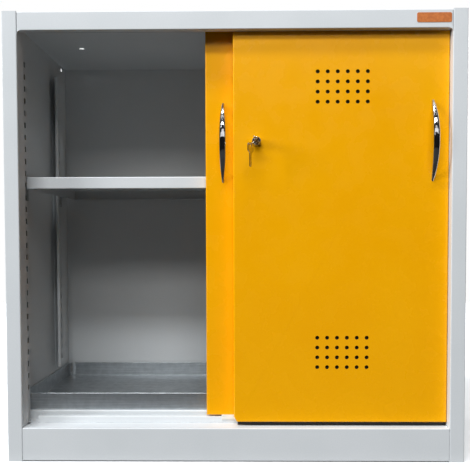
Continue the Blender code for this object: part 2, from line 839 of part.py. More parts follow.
# Lock on the front door
def lock_sleeve(carrier):
    """Flanged sleeve behind the door's face, in which the lock cylinder is pushed."""
    inner = lock_radius + lock_hole_clearance
    outer = inner + sleeve_wall
    near = at_depth(front_door_depth + sheet + seat_gap)
    far = at_depth(front_door_depth + door_thickness)
    flange_back = near + sleeve_flange_thickness
    profile = [(inner, near), (sleeve_flange_radius, near), (sleeve_flange_radius, flange_back),
               (outer, flange_back), (outer, far), (inner, far)]
    node("lock_sleeve", "zinc_steel", turned_tube(profile, (lock_x, lock_height), turned_sides),
         carrier=carrier, smooth=True)


def lock_nut(carrier):
    """Hexagon nut that draws the sleeve against the stiffener."""
    near = at_depth(front_door_depth + door_thickness - stiffener_rear_clearance) + seat_gap
    outline = disc_outline(nut_across * half_share, nut_sides, (lock_x, lock_height))
    bore = lock_radius + lock_hole_clearance + sleeve_wall + seat_gap
    nut = outline_prism(outline, "Y", near, near + nut_thickness)
    hole = outline_prism(disc_outline(bore, turned_sides, (lock_x, lock_height)), "Y",
                         near - overrun, near + nut_thickness + overrun)
    node("lock_nut", "zinc_steel", nut, cut=[hole], carrier=carrier)


def lock_cylinder(carrier):
    """Chromed cylinder that stands proud while the lock is open, bored for its plug."""
    face = at_depth(lock_face_depth)
    tail = at_depth(front_door_depth + door_thickness)
    profile = [(0, face), (lock_radius - lock_edge_radius, face), (lock_radius, face + lock_edge_radius),
               (lock_radius, tail), (0, tail)]
    bore = round_punch(lock_x, lock_height, plug_radius + plug_clearance, lock_face_depth - overrun,
                       lock_face_depth + plug_length + seat_gap)
    node("lock_cylinder", "chrome", turned(profile, (lock_x, lock_height), turned_sides), cut=[bore],
         origin=(lock_x, face, lock_height), carrier=carrier, smooth=True)


def leaning(shape):
    """Turns a solid about the lock's axis to the key's angle."""
    about = Vector((lock_x, 0, lock_height))
    bmesh.ops.rotate(shape, cent=about, matrix=Matrix.Rotation(key_lean, 3, "Y"), verts=shape.verts)
    return shape


def lock_plug(carrier):
    """Turning plug with its keyway."""
    face = at_depth(lock_face_depth - plug_proud)
    tail = at_depth(lock_face_depth + plug_length)
    profile = [(0, face), (plug_radius, face), (plug_radius, tail), (0, tail)]
    half = blade_width * half_share + keyway_clearance
    thin = blade_thickness * half_share + keyway_clearance
    depth = at_depth(lock_face_depth + blade_inserted) + seat_gap
    keyway = leaning(block((lock_x - half, lock_x + half), (face - overrun, depth),
                           (lock_height - thin, lock_height + thin)))
    node("lock_plug", "nickel", turned(profile, (lock_x, lock_height), turned_sides), cut=[keyway],
         origin=(lock_x, face, lock_height), carrier=carrier, smooth=True)


def key_outline(tip, shoulder, end):
    """Flat outline of a key along one axis: blade with its cuts, shoulder and round bow."""
    half = blade_width * half_share
    wide = bow_width * half_share
    notch_shares = (0.20, 0.38, 0.55, 0.74)
    cut_shares = (0.30, 0.15, 0.35, 0.20)
    pitch_share = 0.06
    way = tip - shoulder
    blade = []
    for place, cut in zip(notch_shares, cut_shares):
        for offset, drop in ((-pitch_share, 0), (0, cut), (pitch_share, 0)):
            blade.append((half - drop * half, shoulder + way * (place + offset)))
    length = abs(end - shoulder)
    sign = 1 if end > shoulder else -1
    soft = wide * half_share
    rounded = corner_arc((wide - soft, length - soft), soft, 0, 90, corner_steps + corner_steps)
    bow = [(x, shoulder + sign * y) for x, y in rounded]
    right = [(half, shoulder)] + blade + [(half * half_share, tip)]
    left = [(-half * half_share, tip), (-half, tip + (shoulder - tip) * pitch_share), (-half, shoulder)]
    neck = [(-wide, shoulder + sign * soft)]
    return left + neck + [(-x, y) for x, y in bow] + bow[::-1] + [(wide, shoulder + sign * soft)] + right


def lock_key(carrier):
    """Key in the lock: blade in the plug, bow standing out, with a hole for the ring."""
    shoulder = at_depth(lock_face_depth - key_shoulder)
    tip = at_depth(lock_face_depth + blade_inserted)
    outline = key_outline(tip, shoulder, shoulder - bow_length)
    placed = [(lock_x + x, y) for x, y in outline]
    thin = blade_thickness * half_share
    body = leaning(outline_prism(placed, "Z", lock_height - thin, lock_height + thin))
    hole_outline = disc_outline(bow_hole_radius, small_sides, (lock_x, at_depth(bow_hole_depth)))
    hole = leaning(outline_prism(hole_outline, "Z", lock_height - overrun, lock_height + overrun))
    node("lock_key", "nickel", body, cut=[hole], origin=(lock_x, shoulder, lock_height), carrier=carrier)


def ring_frame():
    """The ring's centre, and the two directions that span its plane."""
    forward = Vector((0, -1, 0))
    across = Vector((-math.sin(key_lean), 0, -math.cos(key_lean)))
    hole = Vector((lock_x, at_depth(bow_hole_depth), lock_height))
    centre = hole + (forward * math.cos(ring_droop) + across * math.sin(ring_droop)) * ring_radius
    return centre, forward, across


def key_ring(carrier):
    """Wire ring through the bow of the key in the lock."""
    centre, forward, across = ring_frame()
    normal = forward.cross(across)
    shape = bmesh.new()
    rings = []
    for step in range(ring_segments):
        turn = math.tau * step / ring_segments
        outward = forward * math.cos(turn) + across * math.sin(turn)
        ring = []
        for side in range(wire_sides):
            angle = math.tau * side / wire_sides
            radial = outward * (ring_radius + ring_wire * math.cos(angle))
            ring.append(shape.verts.new(centre + radial + normal * ring_wire * math.sin(angle)))
        rings.append(ring)
    for near, far in zip(rings, rings[1:] + rings[:1]):
        join_rings(shape, near, far)
    bmesh.ops.recalc_face_normals(shape, faces=shape.faces)
    node("key_ring", "nickel", shape, origin=tuple(centre), carrier=carrier, smooth=True)


def spare_key_pivot():
    """Where the spare key hangs on the ring."""
    centre, forward, across = ring_frame()
    return centre + across * ring_radius


def spare_key(carrier):
    """Second key, hanging flat to the front from the ring."""
    pivot = spare_key_pivot()
    hole_z = pivot.z - (bow_hole_radius - ring_wire - seat_gap)
    top = hole_z + bow_hole_inset
    shoulder = top - bow_length
    outline = [(pivot.x + x, z) for x, z in key_outline(shoulder - blade_length, shoulder, top)]
    half = blade_thickness * half_share
    body = outline_prism(outline, "Y", pivot.y - half, pivot.y + half)
    hole = outline_prism(disc_outline(bow_hole_radius, small_sides, (pivot.x, hole_z)), "Y",
                         pivot.y - overrun, pivot.y + overrun)
    node("spare_key", "nickel", body, cut=[hole], origin=tuple(pivot), carrier=carrier)


def keeper_place():
    """Where the lock's keeper sits on the rear door: behind the lock once that door is shut."""
    return lock_x + rear_door_travel


def lock_keeper(carrier):
    """Ring in the rear door that takes the pushed cylinder while the doors are shut."""
    bore = lock_radius + keeper_bore_clearance
    near = at_depth(rear_door_depth)
    back = at_depth(rear_door_depth + sheet) + seat_gap
    far = back + keeper_depth
    profile = [(bore, near), (keeper_radius, near), (keeper_radius, back), (keeper_flange_radius, back),
               (keeper_flange_radius, back + sheet), (keeper_radius, back + sheet), (keeper_radius, far),
               (bore, far)]
    node("lock_keeper", "zinc_steel", turned_tube(profile, (keeper_place(), lock_height), turned_sides),
         carrier=carrier, smooth=True)


def screw_punches(x, depth):
    """Holes for a handle's two screws."""
    radius = screw_radius + screw_hole_clearance
    return [round_punch(x, z, radius, depth - overrun, depth + overrun, small_sides)
            for z in handle_screw_heights()]


def fittings(prefix, left, right, depth, handle_x, carrier):
    """What both doors carry: handle, screws, two hangers and their rollers."""
    bow_handle(prefix + "_handle", handle_x, depth, carrier)
    for z, place in zip(handle_screw_heights(), ("lower", "upper")):
        handle_screw(prefix + "_handle_screw_" + place, handle_x, z, depth, carrier)
    reach = hanger_inset + hanger_width * half_share
    for x, place in ((left + reach, "left"), (right - reach, "right")):
        span = hanger(prefix + "_hanger_" + place, x, depth, carrier)
        roller(prefix + "_roller_" + place, x, span, carrier)


def build_front_door():
    place = (front_door_left, at_depth(front_door_depth), front_door_bottom)
    carrier = carrier_empty("front_door_slide", place)
    first = front_door_left + front_field_from_edge
    punches = hole_field(first, door_top - upper_field_below_top, -1, front_door_depth)
    punches += hole_field(first, front_door_bottom + lower_field_above_bottom, 1, front_door_depth)
    punches += screw_punches(front_handle_x, front_door_depth)
    punches.append(round_punch(lock_x, lock_height, lock_radius + lock_hole_clearance,
                               front_door_depth - overrun, front_door_depth + overrun))
    door_panel("front_door_panel", front_door_left, front_door_right, front_door_bottom, front_door_depth,
               punches, True, carrier, place)
    sleeve_hole = round_punch(lock_x, lock_height,
                              lock_radius + lock_hole_clearance + sleeve_wall + seat_gap,
                              front_door_depth + sheet + sheet, front_door_depth + door_thickness + overrun)
    stiffener("front_door_stiffener", lock_x, front_door_bottom, front_door_depth, [sleeve_hole], carrier)
    fittings("front", front_door_left, front_door_right, front_door_depth, front_handle_x, carrier)
    inset = glide_inset + glide_length * half_share
    front_shoe("front_shoe_left", front_door_left + inset, carrier)
    front_shoe("front_shoe_right", front_door_right - inset, carrier)
    lock_sleeve(carrier)
    lock_nut(carrier)
    lock_cylinder(carrier)
    lock_plug(carrier)
    lock_key(carrier)
    key_ring(carrier)
    spare_key(carrier)


def build_rear_door():
    place = (rear_door_left, at_depth(rear_door_depth), rear_door_bottom)
    carrier = carrier_empty("rear_door_slide", place)
    middle = (rear_door_left + rear_door_right) * half_share
    first = middle - hole_pitch * (hole_columns - 1) * half_share
    punches = hole_field(first, door_top - upper_field_below_top, -1, rear_door_depth)
    punches += hole_field(first, front_door_bottom + lower_field_above_bottom, 1, rear_door_depth)
    punches += screw_punches(rear_handle_x, rear_door_depth)
    punches.append(round_punch(keeper_place(), lock_height, keeper_radius + seat_gap,
                               rear_door_depth - overrun, rear_door_depth + overrun))
    door_panel("rear_door_panel", rear_door_left, rear_door_right, rear_door_bottom, rear_door_depth,
               punches, False, carrier, place)
    stiffener("rear_door_stiffener", rear_handle_x + stiffener_width + screw_head_radius, rear_door_bottom,
              rear_door_depth, [], carrier)
    fittings("rear", rear_door_left, rear_door_right, rear_door_depth, rear_handle_x, carrier)
    inset = glide_inset + glide_length * half_share
    rear_glide("rear_glide_left", rear_door_left + inset, carrier)
    rear_glide("rear_glide_right", rear_door_right - inset, carrier)
    lock_keeper(carrier)


def build_body():
    for side, word in ((-1, "left"), (1, "right")):
        side_panel(side, "side_panel_" + word)
        rear_upright(side, "rear_upright_" + word)
        shelf_clip(side, flange_end - slot_from_flange_end, "shelf_clip_front_" + word)
        shelf_clip(side, upright_depth + upright_slot_inset, "shelf_clip_rear_" + word)
        ceiling_fixing(side, "ceiling_fixing_" + word)
        track_stop(side, web_depths()[0], "track_stop_front_" + word)
        track_stop(side, web_depths()[1], "track_stop_rear_" + word)
    top_cap()
    floor_pan()
    back_wall()
    guide_rail()
    top_track()
    shelf()
    spill_tray()


build_body()
build_front_door()
build_rear_door()
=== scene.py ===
import json
import math

import bmesh
import bpy
from mathutils import Matrix, Vector


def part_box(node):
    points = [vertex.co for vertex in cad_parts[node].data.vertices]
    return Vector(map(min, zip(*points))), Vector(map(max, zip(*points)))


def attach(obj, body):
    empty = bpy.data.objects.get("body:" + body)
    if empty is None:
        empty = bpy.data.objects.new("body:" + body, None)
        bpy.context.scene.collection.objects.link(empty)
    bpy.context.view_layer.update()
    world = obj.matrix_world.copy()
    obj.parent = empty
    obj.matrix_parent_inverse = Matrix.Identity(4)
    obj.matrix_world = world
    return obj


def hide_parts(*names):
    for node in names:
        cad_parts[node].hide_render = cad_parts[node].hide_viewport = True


# Sheet-steel safety storage cabinet with two yellow sliding doors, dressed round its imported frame.
# Metres, +Z up, the front towards -Y. A setting that has a unit ends with it.
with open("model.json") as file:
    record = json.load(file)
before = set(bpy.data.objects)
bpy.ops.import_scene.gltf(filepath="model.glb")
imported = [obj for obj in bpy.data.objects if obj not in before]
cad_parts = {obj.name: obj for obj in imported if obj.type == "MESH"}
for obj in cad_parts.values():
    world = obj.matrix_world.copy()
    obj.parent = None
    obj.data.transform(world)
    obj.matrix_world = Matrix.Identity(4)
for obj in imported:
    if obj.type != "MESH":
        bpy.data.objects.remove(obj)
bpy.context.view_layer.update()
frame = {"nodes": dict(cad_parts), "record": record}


def mm(value):
    return value / 1000


def cadLow(node):
    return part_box(node)[0]


def cadHigh(node):
    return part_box(node)[1]


def middle(node):
    low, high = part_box(node)
    return (low + high) / 2


frontY = cadLow("side_panel_left").y      # the posts' front faces
cabinetTop = cadHigh("side_panel_left").z
halfWidth = cadHigh("side_panel_right").x
openingHalf = mm(430)                     # the clear opening between the posts
columnHalf = mm(438)                      # the slotted columns' inner faces
steelThick = mm(1)                        # the sheet of body, doors and shelf
cutRoom = mm(4)                           # how far a cutter reaches past what it cuts
boreSides = 28                            # sides of a small round hole


def atDepth(depthMm):
    return frontY + mm(depthMm)


# Camera, level with the middle of the cabinet and a little to the right
cameraSettings = {
    "acrossMm": 38.0, "aheadMm": 1225.0, "heightMm": 444.0,
    "downDeg": 2.011, "leftDeg": 0.703, "rollDeg": 0.127,
    "focalPx": 615.2, "centrePx": (246.13, 263.12), "imagePx": 470, "sensorMm": 36.0,
}


def makeCamera(look):
    data = bpy.data.cameras.new("camera")
    half = look["imagePx"] / 2
    data.sensor_width = look["sensorMm"]
    data.lens = look["focalPx"] / look["imagePx"] * look["sensorMm"]
    data.shift_x = (half - look["centrePx"][0]) / look["imagePx"]
    data.shift_y = (look["centrePx"][1] - half) / look["imagePx"]
    camera = bpy.data.objects.new("camera", data)
    turn = Matrix.Rotation(math.radians(look["leftDeg"]), 4, "Z")
    turn = turn @ Matrix.Rotation(math.radians(90 - look["downDeg"]), 4, "X")
    turn = turn @ Matrix.Rotation(math.radians(-look["rollDeg"]), 4, "Z")
    place = Vector((mm(look["acrossMm"]), atDepth(-look["aheadMm"]), mm(look["heightMm"])))
    camera.matrix_world = Matrix.Translation(place) @ turn
    bpy.context.scene.collection.objects.link(camera)
    bpy.context.scene.camera = camera


makeCamera(cameraSettings)
bpy.context.scene.view_settings.view_transform = "Standard"


# Materials
def linear(code):
    parts = [int(code[i:i + 2], 16) / 255 for i in (0, 2, 4)]
    return [c / 12.92 if c <= 0.04045 else ((c + 0.055) / 1.055) ** 2.4 for c in parts] + [1]


def addNode(tree, kind, settings=None, links=None):
    node = tree.nodes.new("ShaderNode" + kind)
    for key, value in (settings or {}).items():
        if isinstance(key, str) and hasattr(node, key):
            setattr(node, key, value)
        else:
            node.inputs[key].default_value = value
    for key, source in (links or {}).items():
        tree.links.new(source, node.inputs[key])
    return node


def perMm(sizeMm):
    return 1000 / sizeMm    # a texture's scale for a pattern of this real size


def startMaterial(name, look):
    made = bpy.data.materials.new(name)
    made.use_nodes = True
    tree = made.node_tree
    shader = tree.nodes["Principled BSDF"]
    for socket in ("Metallic", "IOR"):
        if socket in look:
            shader.inputs[socket].default_value = look[socket]
    place = addNode(tree, "TexCoord").outputs["Object"]
    made.diffuse_color = linear(look["light"])
    return made, tree, place


def dressed(made, colour, roughness, normal):
    tree = made.node_tree
    inputs = tree.nodes["Principled BSDF"].inputs
    for socket, source in (("Base Color", colour), ("Roughness", roughness), ("Normal", normal)):
        tree.links.new(source, inputs[socket])
    return made


def mottle(tree, place, sizeMm, detail, stretch=None):
    if stretch:
        place = addNode(tree, "Mapping", {"Scale": stretch}, {"Vector": place}).outputs["Vector"]
    noise = addNode(tree, "TexNoise", {"Scale": perMm(sizeMm), "Detail": detail}, {"Vector": place})
    return noise.outputs["Fac"]


def between(tree, factor, low, high, fromLow=0.35, fromHigh=0.65):
    ends = {"From Min": fromLow, "From Max": fromHigh, "To Min": low, "To Max": high}
    return addNode(tree, "MapRange", ends, {"Value": factor}).outputs["Result"]


def combined(tree, operation, first, second):
    return addNode(tree, "Math", {"operation": operation}, {0: first, 1: second}).outputs[0]


def twoPatterns(tree, first, second, share):
    return combined(tree, "ADD", between(tree, first, 0, share), between(tree, second, 0, 1 - share))


def blendColours(tree, factor, first, second):
    mix = addNode(tree, "Mix", {"data_type": "RGBA"}, {0: factor})
    for index, colour in ((6, first), (7, second)):
        if isinstance(colour, str):
            mix.inputs[index].default_value = linear(colour)
        else:
            tree.links.new(colour, mix.inputs[index])
    return mix.outputs[2]


def bumpOf(tree, height, depthMm, strength, under=None):
    links = {"Height": height}
    if under:
        links["Normal"] = under
    return addNode(tree, "Bump", {"Strength": strength, "Distance": mm(depthMm)}, links).outputs["Normal"]


# The coat's real structure is about 1 mm, drawn coarser to show. The sheet under it is never quite flat.
coatSettings = {
    "IOR": 1.5, "cloudMm": 180, "cloudShare": 0.6, "structureMm": 2.6, "structureDepthMm": 0.05,
    "touchedMm": 45, "smoother": 0.05, "rougher": 0.06, "dentMm": 160, "dentDepthMm": 0.5,
}


# Polyester powder coat on sheet steel: half matt, a fine structure and faint clouds from the spraying
def powderCoat(name, light, dark, roughness, look):
    made, tree, place = startMaterial(name, look | {"light": light})
    cloud = mottle(tree, place, look["cloudMm"], 3.0)
    structure = mottle(tree, place, look["structureMm"], 2.0)
    tone = twoPatterns(tree, cloud, structure, look["cloudShare"])
    touched = mottle(tree, place, look["touchedMm"], 4.0)
    gloss = between(tree, touched, roughness - look["smoother"], roughness + look["rougher"])
    dents = bumpOf(tree, mottle(tree, place, look["dentMm"], 1.0), look["dentDepthMm"], 0.5)
    return dressed(made, blendColours(tree, tone, dark, light), gloss,
                   bumpOf(tree, structure, look["structureDepthMm"], 0.5, dents))


# Bright chrome on a die casting: nearly a mirror, its surface a little wavy
def brightChrome(name, look):
    made, tree, place = startMaterial(name, look)
    haze = mottle(tree, place, look["hazeMm"], 3.0)
    waves = mottle(tree, place, look["waveMm"], 1.0)
    return dressed(made, blendColours(tree, between(tree, haze, 0, 1), look["dark"], look["light"]),
                   between(tree, haze, look["smooth"], look["rough"]),
                   bumpOf(tree, waves, look["waveDepthMm"], 1.0))


# Galvanised sheet, skin-passed: rolling marks run along it, coarser than real ones to show, with a faint
# cloud where the spangles were
def galvanisedSheet(name, look):
    made, tree, place = startMaterial(name, look)
    cloud = mottle(tree, place, look["spangleMm"], 2.0)
    rolled = mottle(tree, place, look["rollingMm"], 3.0, look["rollingStretch"])
    tone = twoPatterns(tree, cloud, rolled, look["cloudShare"])
    return dressed(made, blendColours(tree, tone, look["dark"], look["light"]),
                   between(tree, tone, look["rough"], look["smooth"], 0, 1),
                   bumpOf(tree, rolled, look["rollingDepthMm"], 0.3))


# Zinc- or nickel-plated metal: satin, with a faint bloom of a second tone from the bath
def platedSteel(name, look):
    made, tree, place = startMaterial(name, look)
    bloom = mottle(tree, place, look["bloomMm"], 3.0)
    grain = mottle(tree, place, look["grainMm"], 2.0)
    return dressed(made, blendColours(tree, between(tree, bloom, 0, 1), look["dark"], look["light"]),
                   between(tree, grain, look["smooth"], look["rough"]),
                   bumpOf(tree, grain, look["grainDepthMm"], 0.5))


# Moulded nylon or rubber: an even, dull skin with a fine spark-eroded grain
def mouldedSkin(name, look):
    made, tree, place = startMaterial(name, look)
    grain = mottle(tree, place, look["grainMm"], 2.0)
    return dressed(made, blendColours(tree, between(tree, grain, 0, 1), look["dark"], look["light"]),
                   between(tree, grain, look["smooth"], look["rough"]),
                   bumpOf(tree, grain, look["grainDepthMm"], 0.6))


materials = {
    "greyCoat": powderCoat("lightGreyPowderCoat", "DCDFE1", "D5D9DB", 0.38, coatSettings),
    "yellowCoat": powderCoat("yellowPowderCoat", "FBB203", "F7AB01", 0.26, coatSettings),
    "chrome": brightChrome("brightChromePlate", {
        "light": "E8E8EA", "dark": "D2D2D6", "Metallic": 1.0, "smooth": 0.04, "rough": 0.10, "hazeMm": 14,
        "waveMm": 11, "waveDepthMm": 0.5}),
    "galvanised": galvanisedSheet("skinPassedGalvanisedSheet", {
        "light": "CCD0D3", "dark": "AFB4B7", "Metallic": 1.0, "smooth": 0.36, "rough": 0.48,
        "spangleMm": 14, "cloudShare": 0.4, "rollingMm": 2.2, "rollingStretch": (0.02, 1.0, 1.0),
        "rollingDepthMm": 0.02}),
    "zincSteel": platedSteel("zincPlatedSteel", {
        "light": "C3C7CC", "dark": "AEB1AC", "Metallic": 1.0, "smooth": 0.26, "rough": 0.40, "bloomMm": 8,
        "grainMm": 0.8, "grainDepthMm": 0.03}),
    "nickel": platedSteel("nickelPlatedBrass", {
        "light": "D6D1C6", "dark": "B9B2A4", "Metallic": 1.0, "smooth": 0.09, "rough": 0.20, "bloomMm": 6,
        "grainMm": 0.6, "grainDepthMm": 0.03}),
    "blackNylon": mouldedSkin("blackMouldedNylon", {
        "light": "222325", "dark": "19191B", "IOR": 1.53, "smooth": 0.45, "rough": 0.60, "grainMm": 0.7,
        "grainDepthMm": 0.03}),
    "whiteNylon": mouldedSkin("naturalMouldedNylon", {
        "light": "E8E7E0", "dark": "DCDAD1", "IOR": 1.53, "smooth": 0.40, "rough": 0.55, "grainMm": 0.7,
        "grainDepthMm": 0.03}),
    "rubber": mouldedSkin("blackMouldedRubber", {
        "light": "1B1B1B", "dark": "131313", "IOR": 1.52, "smooth": 0.75, "rough": 0.90, "grainMm": 0.9,
        "grainDepthMm": 0.05}),
    "weld": platedSteel("zincSprayedWeld", {
        "light": "E6E8EC", "dark": "A4A8AE", "Metallic": 1.0, "smooth": 0.30, "rough": 0.55, "bloomMm": 3,
        "grainMm": 1.4, "grainDepthMm": 0.03}),
    "badge": mouldedSkin("orangePrintedFoil", {
        "light": "D07A3C", "dark": "BE6A33", "IOR": 1.5, "smooth": 0.30, "rough": 0.40, "grainMm": 5,
        "grainDepthMm": 0.01}),
}
# Which material slot of the frame each finish belongs to
slotOf = {
    "greyCoat": "grey_coat", "yellowCoat": "yellow_coat", "chrome": "chrome",
    "galvanised": "galvanised", "zincSteel": "zinc_steel", "nickel": "nickel",
    "blackNylon": "black_nylon", "whiteNylon": "white_nylon", "rubber": "black_rubber",
    "weld": "galvanised",
}
print("materials made:", len(materials))


# Mesh tools
def normalOf(a, b):
    way = (Vector(b) - Vector(a)).normalized()
    return Vector((way.y, -way.x))


def foldedSection(path, thickness, bend, steps=6):
    # Outline of a folded sheet. Its metal lies right of the path, or left if the thickness is negative.
    # Each bend gets its outer radius on the outside, and that less the sheet on the inside.
    points = [(Vector(path[0]), normalOf(path[0], path[1]))]
    for before, corner, after in zip(path, path[1:], path[2:]):
        corner = Vector(corner)
        first, second = normalOf(before, corner), normalOf(corner, after)
        inward = (corner - Vector(before)).normalized()
        outward = (Vector(after) - corner).normalized()
        angle = inward.angle(outward)
        right = inward.x * outward.y - inward.y * outward.x < 0
        radius = bend if right == (thickness > 0) else bend - abs(thickness)
        reach = radius * math.tan(angle / 2)
        start = corner - inward * reach
        centre = start + (first if right else -first) * radius
        for step in range(steps + 1):
            normal = first.slerp(second, step / steps)
            points.append((centre + (-normal if right else normal) * radius, normal))
    points.append((Vector(path[-1]), normalOf(path[-2], path[-1])))
    near = [tuple(point) for point, side in points]
    far = [tuple(point + side * thickness) for point, side in points]
    return near, far


def placed(point, along, level):
    u, v = point
    return {"X": (level, u, v), "Y": (u, level, v), "Z": (u, v, level)}[along]


def foldedStrip(path, thickness, bend, along, span):
    near, far = foldedSection(path, thickness, bend)
    shape = bmesh.new()
    ends = []
    for level in span:
        ends.append(([shape.verts.new(placed(p, along, level)) for p in near],
                     [shape.verts.new(placed(p, along, level)) for p in far]))
    (nearA, farA), (nearB, farB) = ends
    for i in range(len(near) - 1):
        shape.faces.new((nearA[i], nearA[i + 1], nearB[i + 1], nearB[i]))
        shape.faces.new((farA[i], farB[i], farB[i + 1], farA[i + 1]))
        shape.faces.new((nearA[i], farA[i], farA[i + 1], nearA[i + 1]))
        shape.faces.new((nearB[i], nearB[i + 1], farB[i + 1], farB[i]))
    for i in (0, -1):
        shape.faces.new((nearA[i], nearB[i], farB[i], farA[i]))
    bmesh.ops.recalc_face_normals(shape, faces=shape.faces)
    return shape


def bridgeRings(shape, rings, closed=False):
    pairs = list(zip(rings, rings[1:]))
    if closed:
        pairs.append((rings[-1], rings[0]))
    for near, far in pairs:
        count = max(len(near), len(far))
        for i in range(count):
            after = (i + 1) % count
            if len(near) == 1:
                shape.faces.new((near[0], far[i], far[after]))
            elif len(far) == 1:
                shape.faces.new((near[i], far[0], near[after]))
            else:
                shape.faces.new((near[i], far[i], far[after], near[after]))


def lofted(rings, closed=False):
    # A solid through rings of points. A closed one has no ends, and a ring of one point is a tip.
    shape = bmesh.new()
    rings = [[shape.verts.new(point) for point in ring] for ring in rings]
    bridgeRings(shape, rings, closed)
    for ring in (rings[0], rings[-1]):
        if len(ring) > 1 and not closed:
            shape.faces.new(ring)
    bmesh.ops.recalc_face_normals(shape, faces=shape.faces)
    return shape


def prism(outline, along, span):
    return lofted([[placed(point, along, level) for point in outline] for level in span])


def rectangle(x, y, farX, farY):
    return [(x, y), (farX, y), (farX, farY), (x, farY)]


def box(low, high):
    return prism(rectangle(low[0], low[1], high[0], high[1]), "Z", (low[2], high[2]))


def arcPoints(centre, radius, first, last, steps=6):
    turns = [math.radians(first + (last - first) * i / steps) for i in range(steps + 1)]
    return [(centre[0] + radius * math.cos(t), centre[1] + radius * math.sin(t)) for t in turns]


def roundedOutline(halfX, low, high, radius, steps=8):
    points = []
    corners = (((halfX - radius, low + radius), -90), ((halfX - radius, high - radius), 0),
               ((radius - halfX, high - radius), 90), ((radius - halfX, low + radius), 180))
    for centre, first in corners:
        points += arcPoints(centre, radius, first, first + 90, steps)
    return points


def circle(radius, sides, centre=(0, 0)):
    turns = [math.tau * i / sides for i in range(sides)]
    return [(centre[0] + radius * math.cos(t), centre[1] + radius * math.sin(t)) for t in turns]


def turned(profile, centre, sides, along="Y", closed=False):
    # A turned piece: profile points are (radius, place along the axis)
    rings = []
    for radius, level in profile:
        ring = circle(radius, sides, centre) if radius else [centre]
        rings.append([placed(point, along, level) for point in ring])
    return lofted(rings, closed)


def drilled(radiusMm, sides, spot, along, level):
    # The cutter of a round hole through a sheet at this level
    return prism(circle(mm(radiusMm), sides, spot), along, (level - cutRoom, level + cutRoom))


def asObject(shape, name):
    mesh = bpy.data.meshes.new(name)
    shape.to_mesh(mesh)
    shape.free()
    made = bpy.data.objects.new(name, mesh)
    bpy.context.scene.collection.objects.link(made)
    return made


def applyModifiers(obj):
    graph = bpy.context.evaluated_depsgraph_get()
    mesh = bpy.data.meshes.new_from_object(obj.evaluated_get(graph))
    obj.modifiers.clear()
    old, obj.data = obj.data, mesh
    bpy.data.meshes.remove(old)


def booleans(obj, operation, shapes):
    for shape in shapes:
        other = asObject(shape, "cutter")
        step = obj.modifiers.new("step", "BOOLEAN")
        step.operation, step.solver, step.object = operation, "EXACT", other
        applyModifiers(obj)
        bpy.data.objects.remove(other)


def gathered(shapes):
    whole = bmesh.new()
    for shape in shapes:
        mesh = bpy.data.meshes.new("part")
        shape.to_mesh(mesh)
        shape.free()
        whole.from_mesh(mesh)
        bpy.data.meshes.remove(mesh)
    return whole


def finishPiece(obj, material, body, nodes=(), edgeMm=0, smoothDeg=35):
    if edgeMm:
        edge = obj.modifiers.new("edge", "BEVEL")
        edge.width, edge.segments, edge.limit_method = mm(edgeMm), 2, "ANGLE"
        edge.angle_limit = math.radians(smoothDeg)
        applyModifiers(obj)
    obj.data.materials.clear()
    obj.data.materials.append(materials[material])
    obj.data.shade_smooth()
    obj.data.set_sharp_from_angle(angle=math.radians(smoothDeg))
    weighted = obj.modifiers.new("weighted", "WEIGHTED_NORMAL")
    weighted.keep_sharp = True
    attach(obj, body)
    if nodes:
        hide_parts(*nodes)


# Side walls with their folded posts and slotted columns
sideSettings = {
    "bendMm": 2.2, "returnMm": 35, "flangeEndMm": 71, "rearLipMm": 15, "deepMm": 420, "footMm": 20,
    "footInsetMm": 0.5, "footEndMm": 1.5, "headMm": 3.3, "closingGapMm": 1.4, "slotWideMm": 7,
    "slotTallMm": 11, "slotRoundMm": 1.4, "breakOutMm": 3, "slotPitchMm": 25, "lowestSlotMm": 137,
    "slotCount": 28, "slotDepthMm": 61, "fixingMm": 4.5, "fixingDepthMm": 378, "fixingHeightMm": 888,
}
uprightSettings = {
    "footMm": 135.5, "startMm": 277, "endMm": 322, "lipMm": 7, "lipBackMm": 319, "weldFlangeMm": 22,
    "slotDepthMm": 288, "bendMm": 1.8,
}


def punch(outlineOf, along, face, inward, flare):
    # A punched opening breaks out wider behind its face, so from the front its edge stays thin
    levels = ((-cutRoom, 0), (0, 0), (steelThick, flare), (cutRoom, flare))
    return lofted([[placed(point, along, face + inward * deep) for point in outlineOf(wider)]
                   for deep, wider in levels])


def slotCutters(side, depthMm, look):
    half, tall, soft = (mm(look[key]) / 2 for key in ("slotWideMm", "slotTallMm", "slotRoundMm"))
    cutters = []
    for i in range(look["slotCount"]):
        z = mm(look["lowestSlotMm"] + look["slotPitchMm"] * i)

        def outlineOf(wider, z=z):
            ring = roundedOutline(half + wider, z - tall, z + tall, soft * 2, 4)
            return [(atDepth(depthMm) + y, level) for y, level in ring]

        cutters.append(punch(outlineOf, "X", side * columnHalf, side, mm(look["breakOutMm"])))
    return gathered(cutters)


def mirroredPath(path, side):
    return [(side * x, y) for x, y in path]


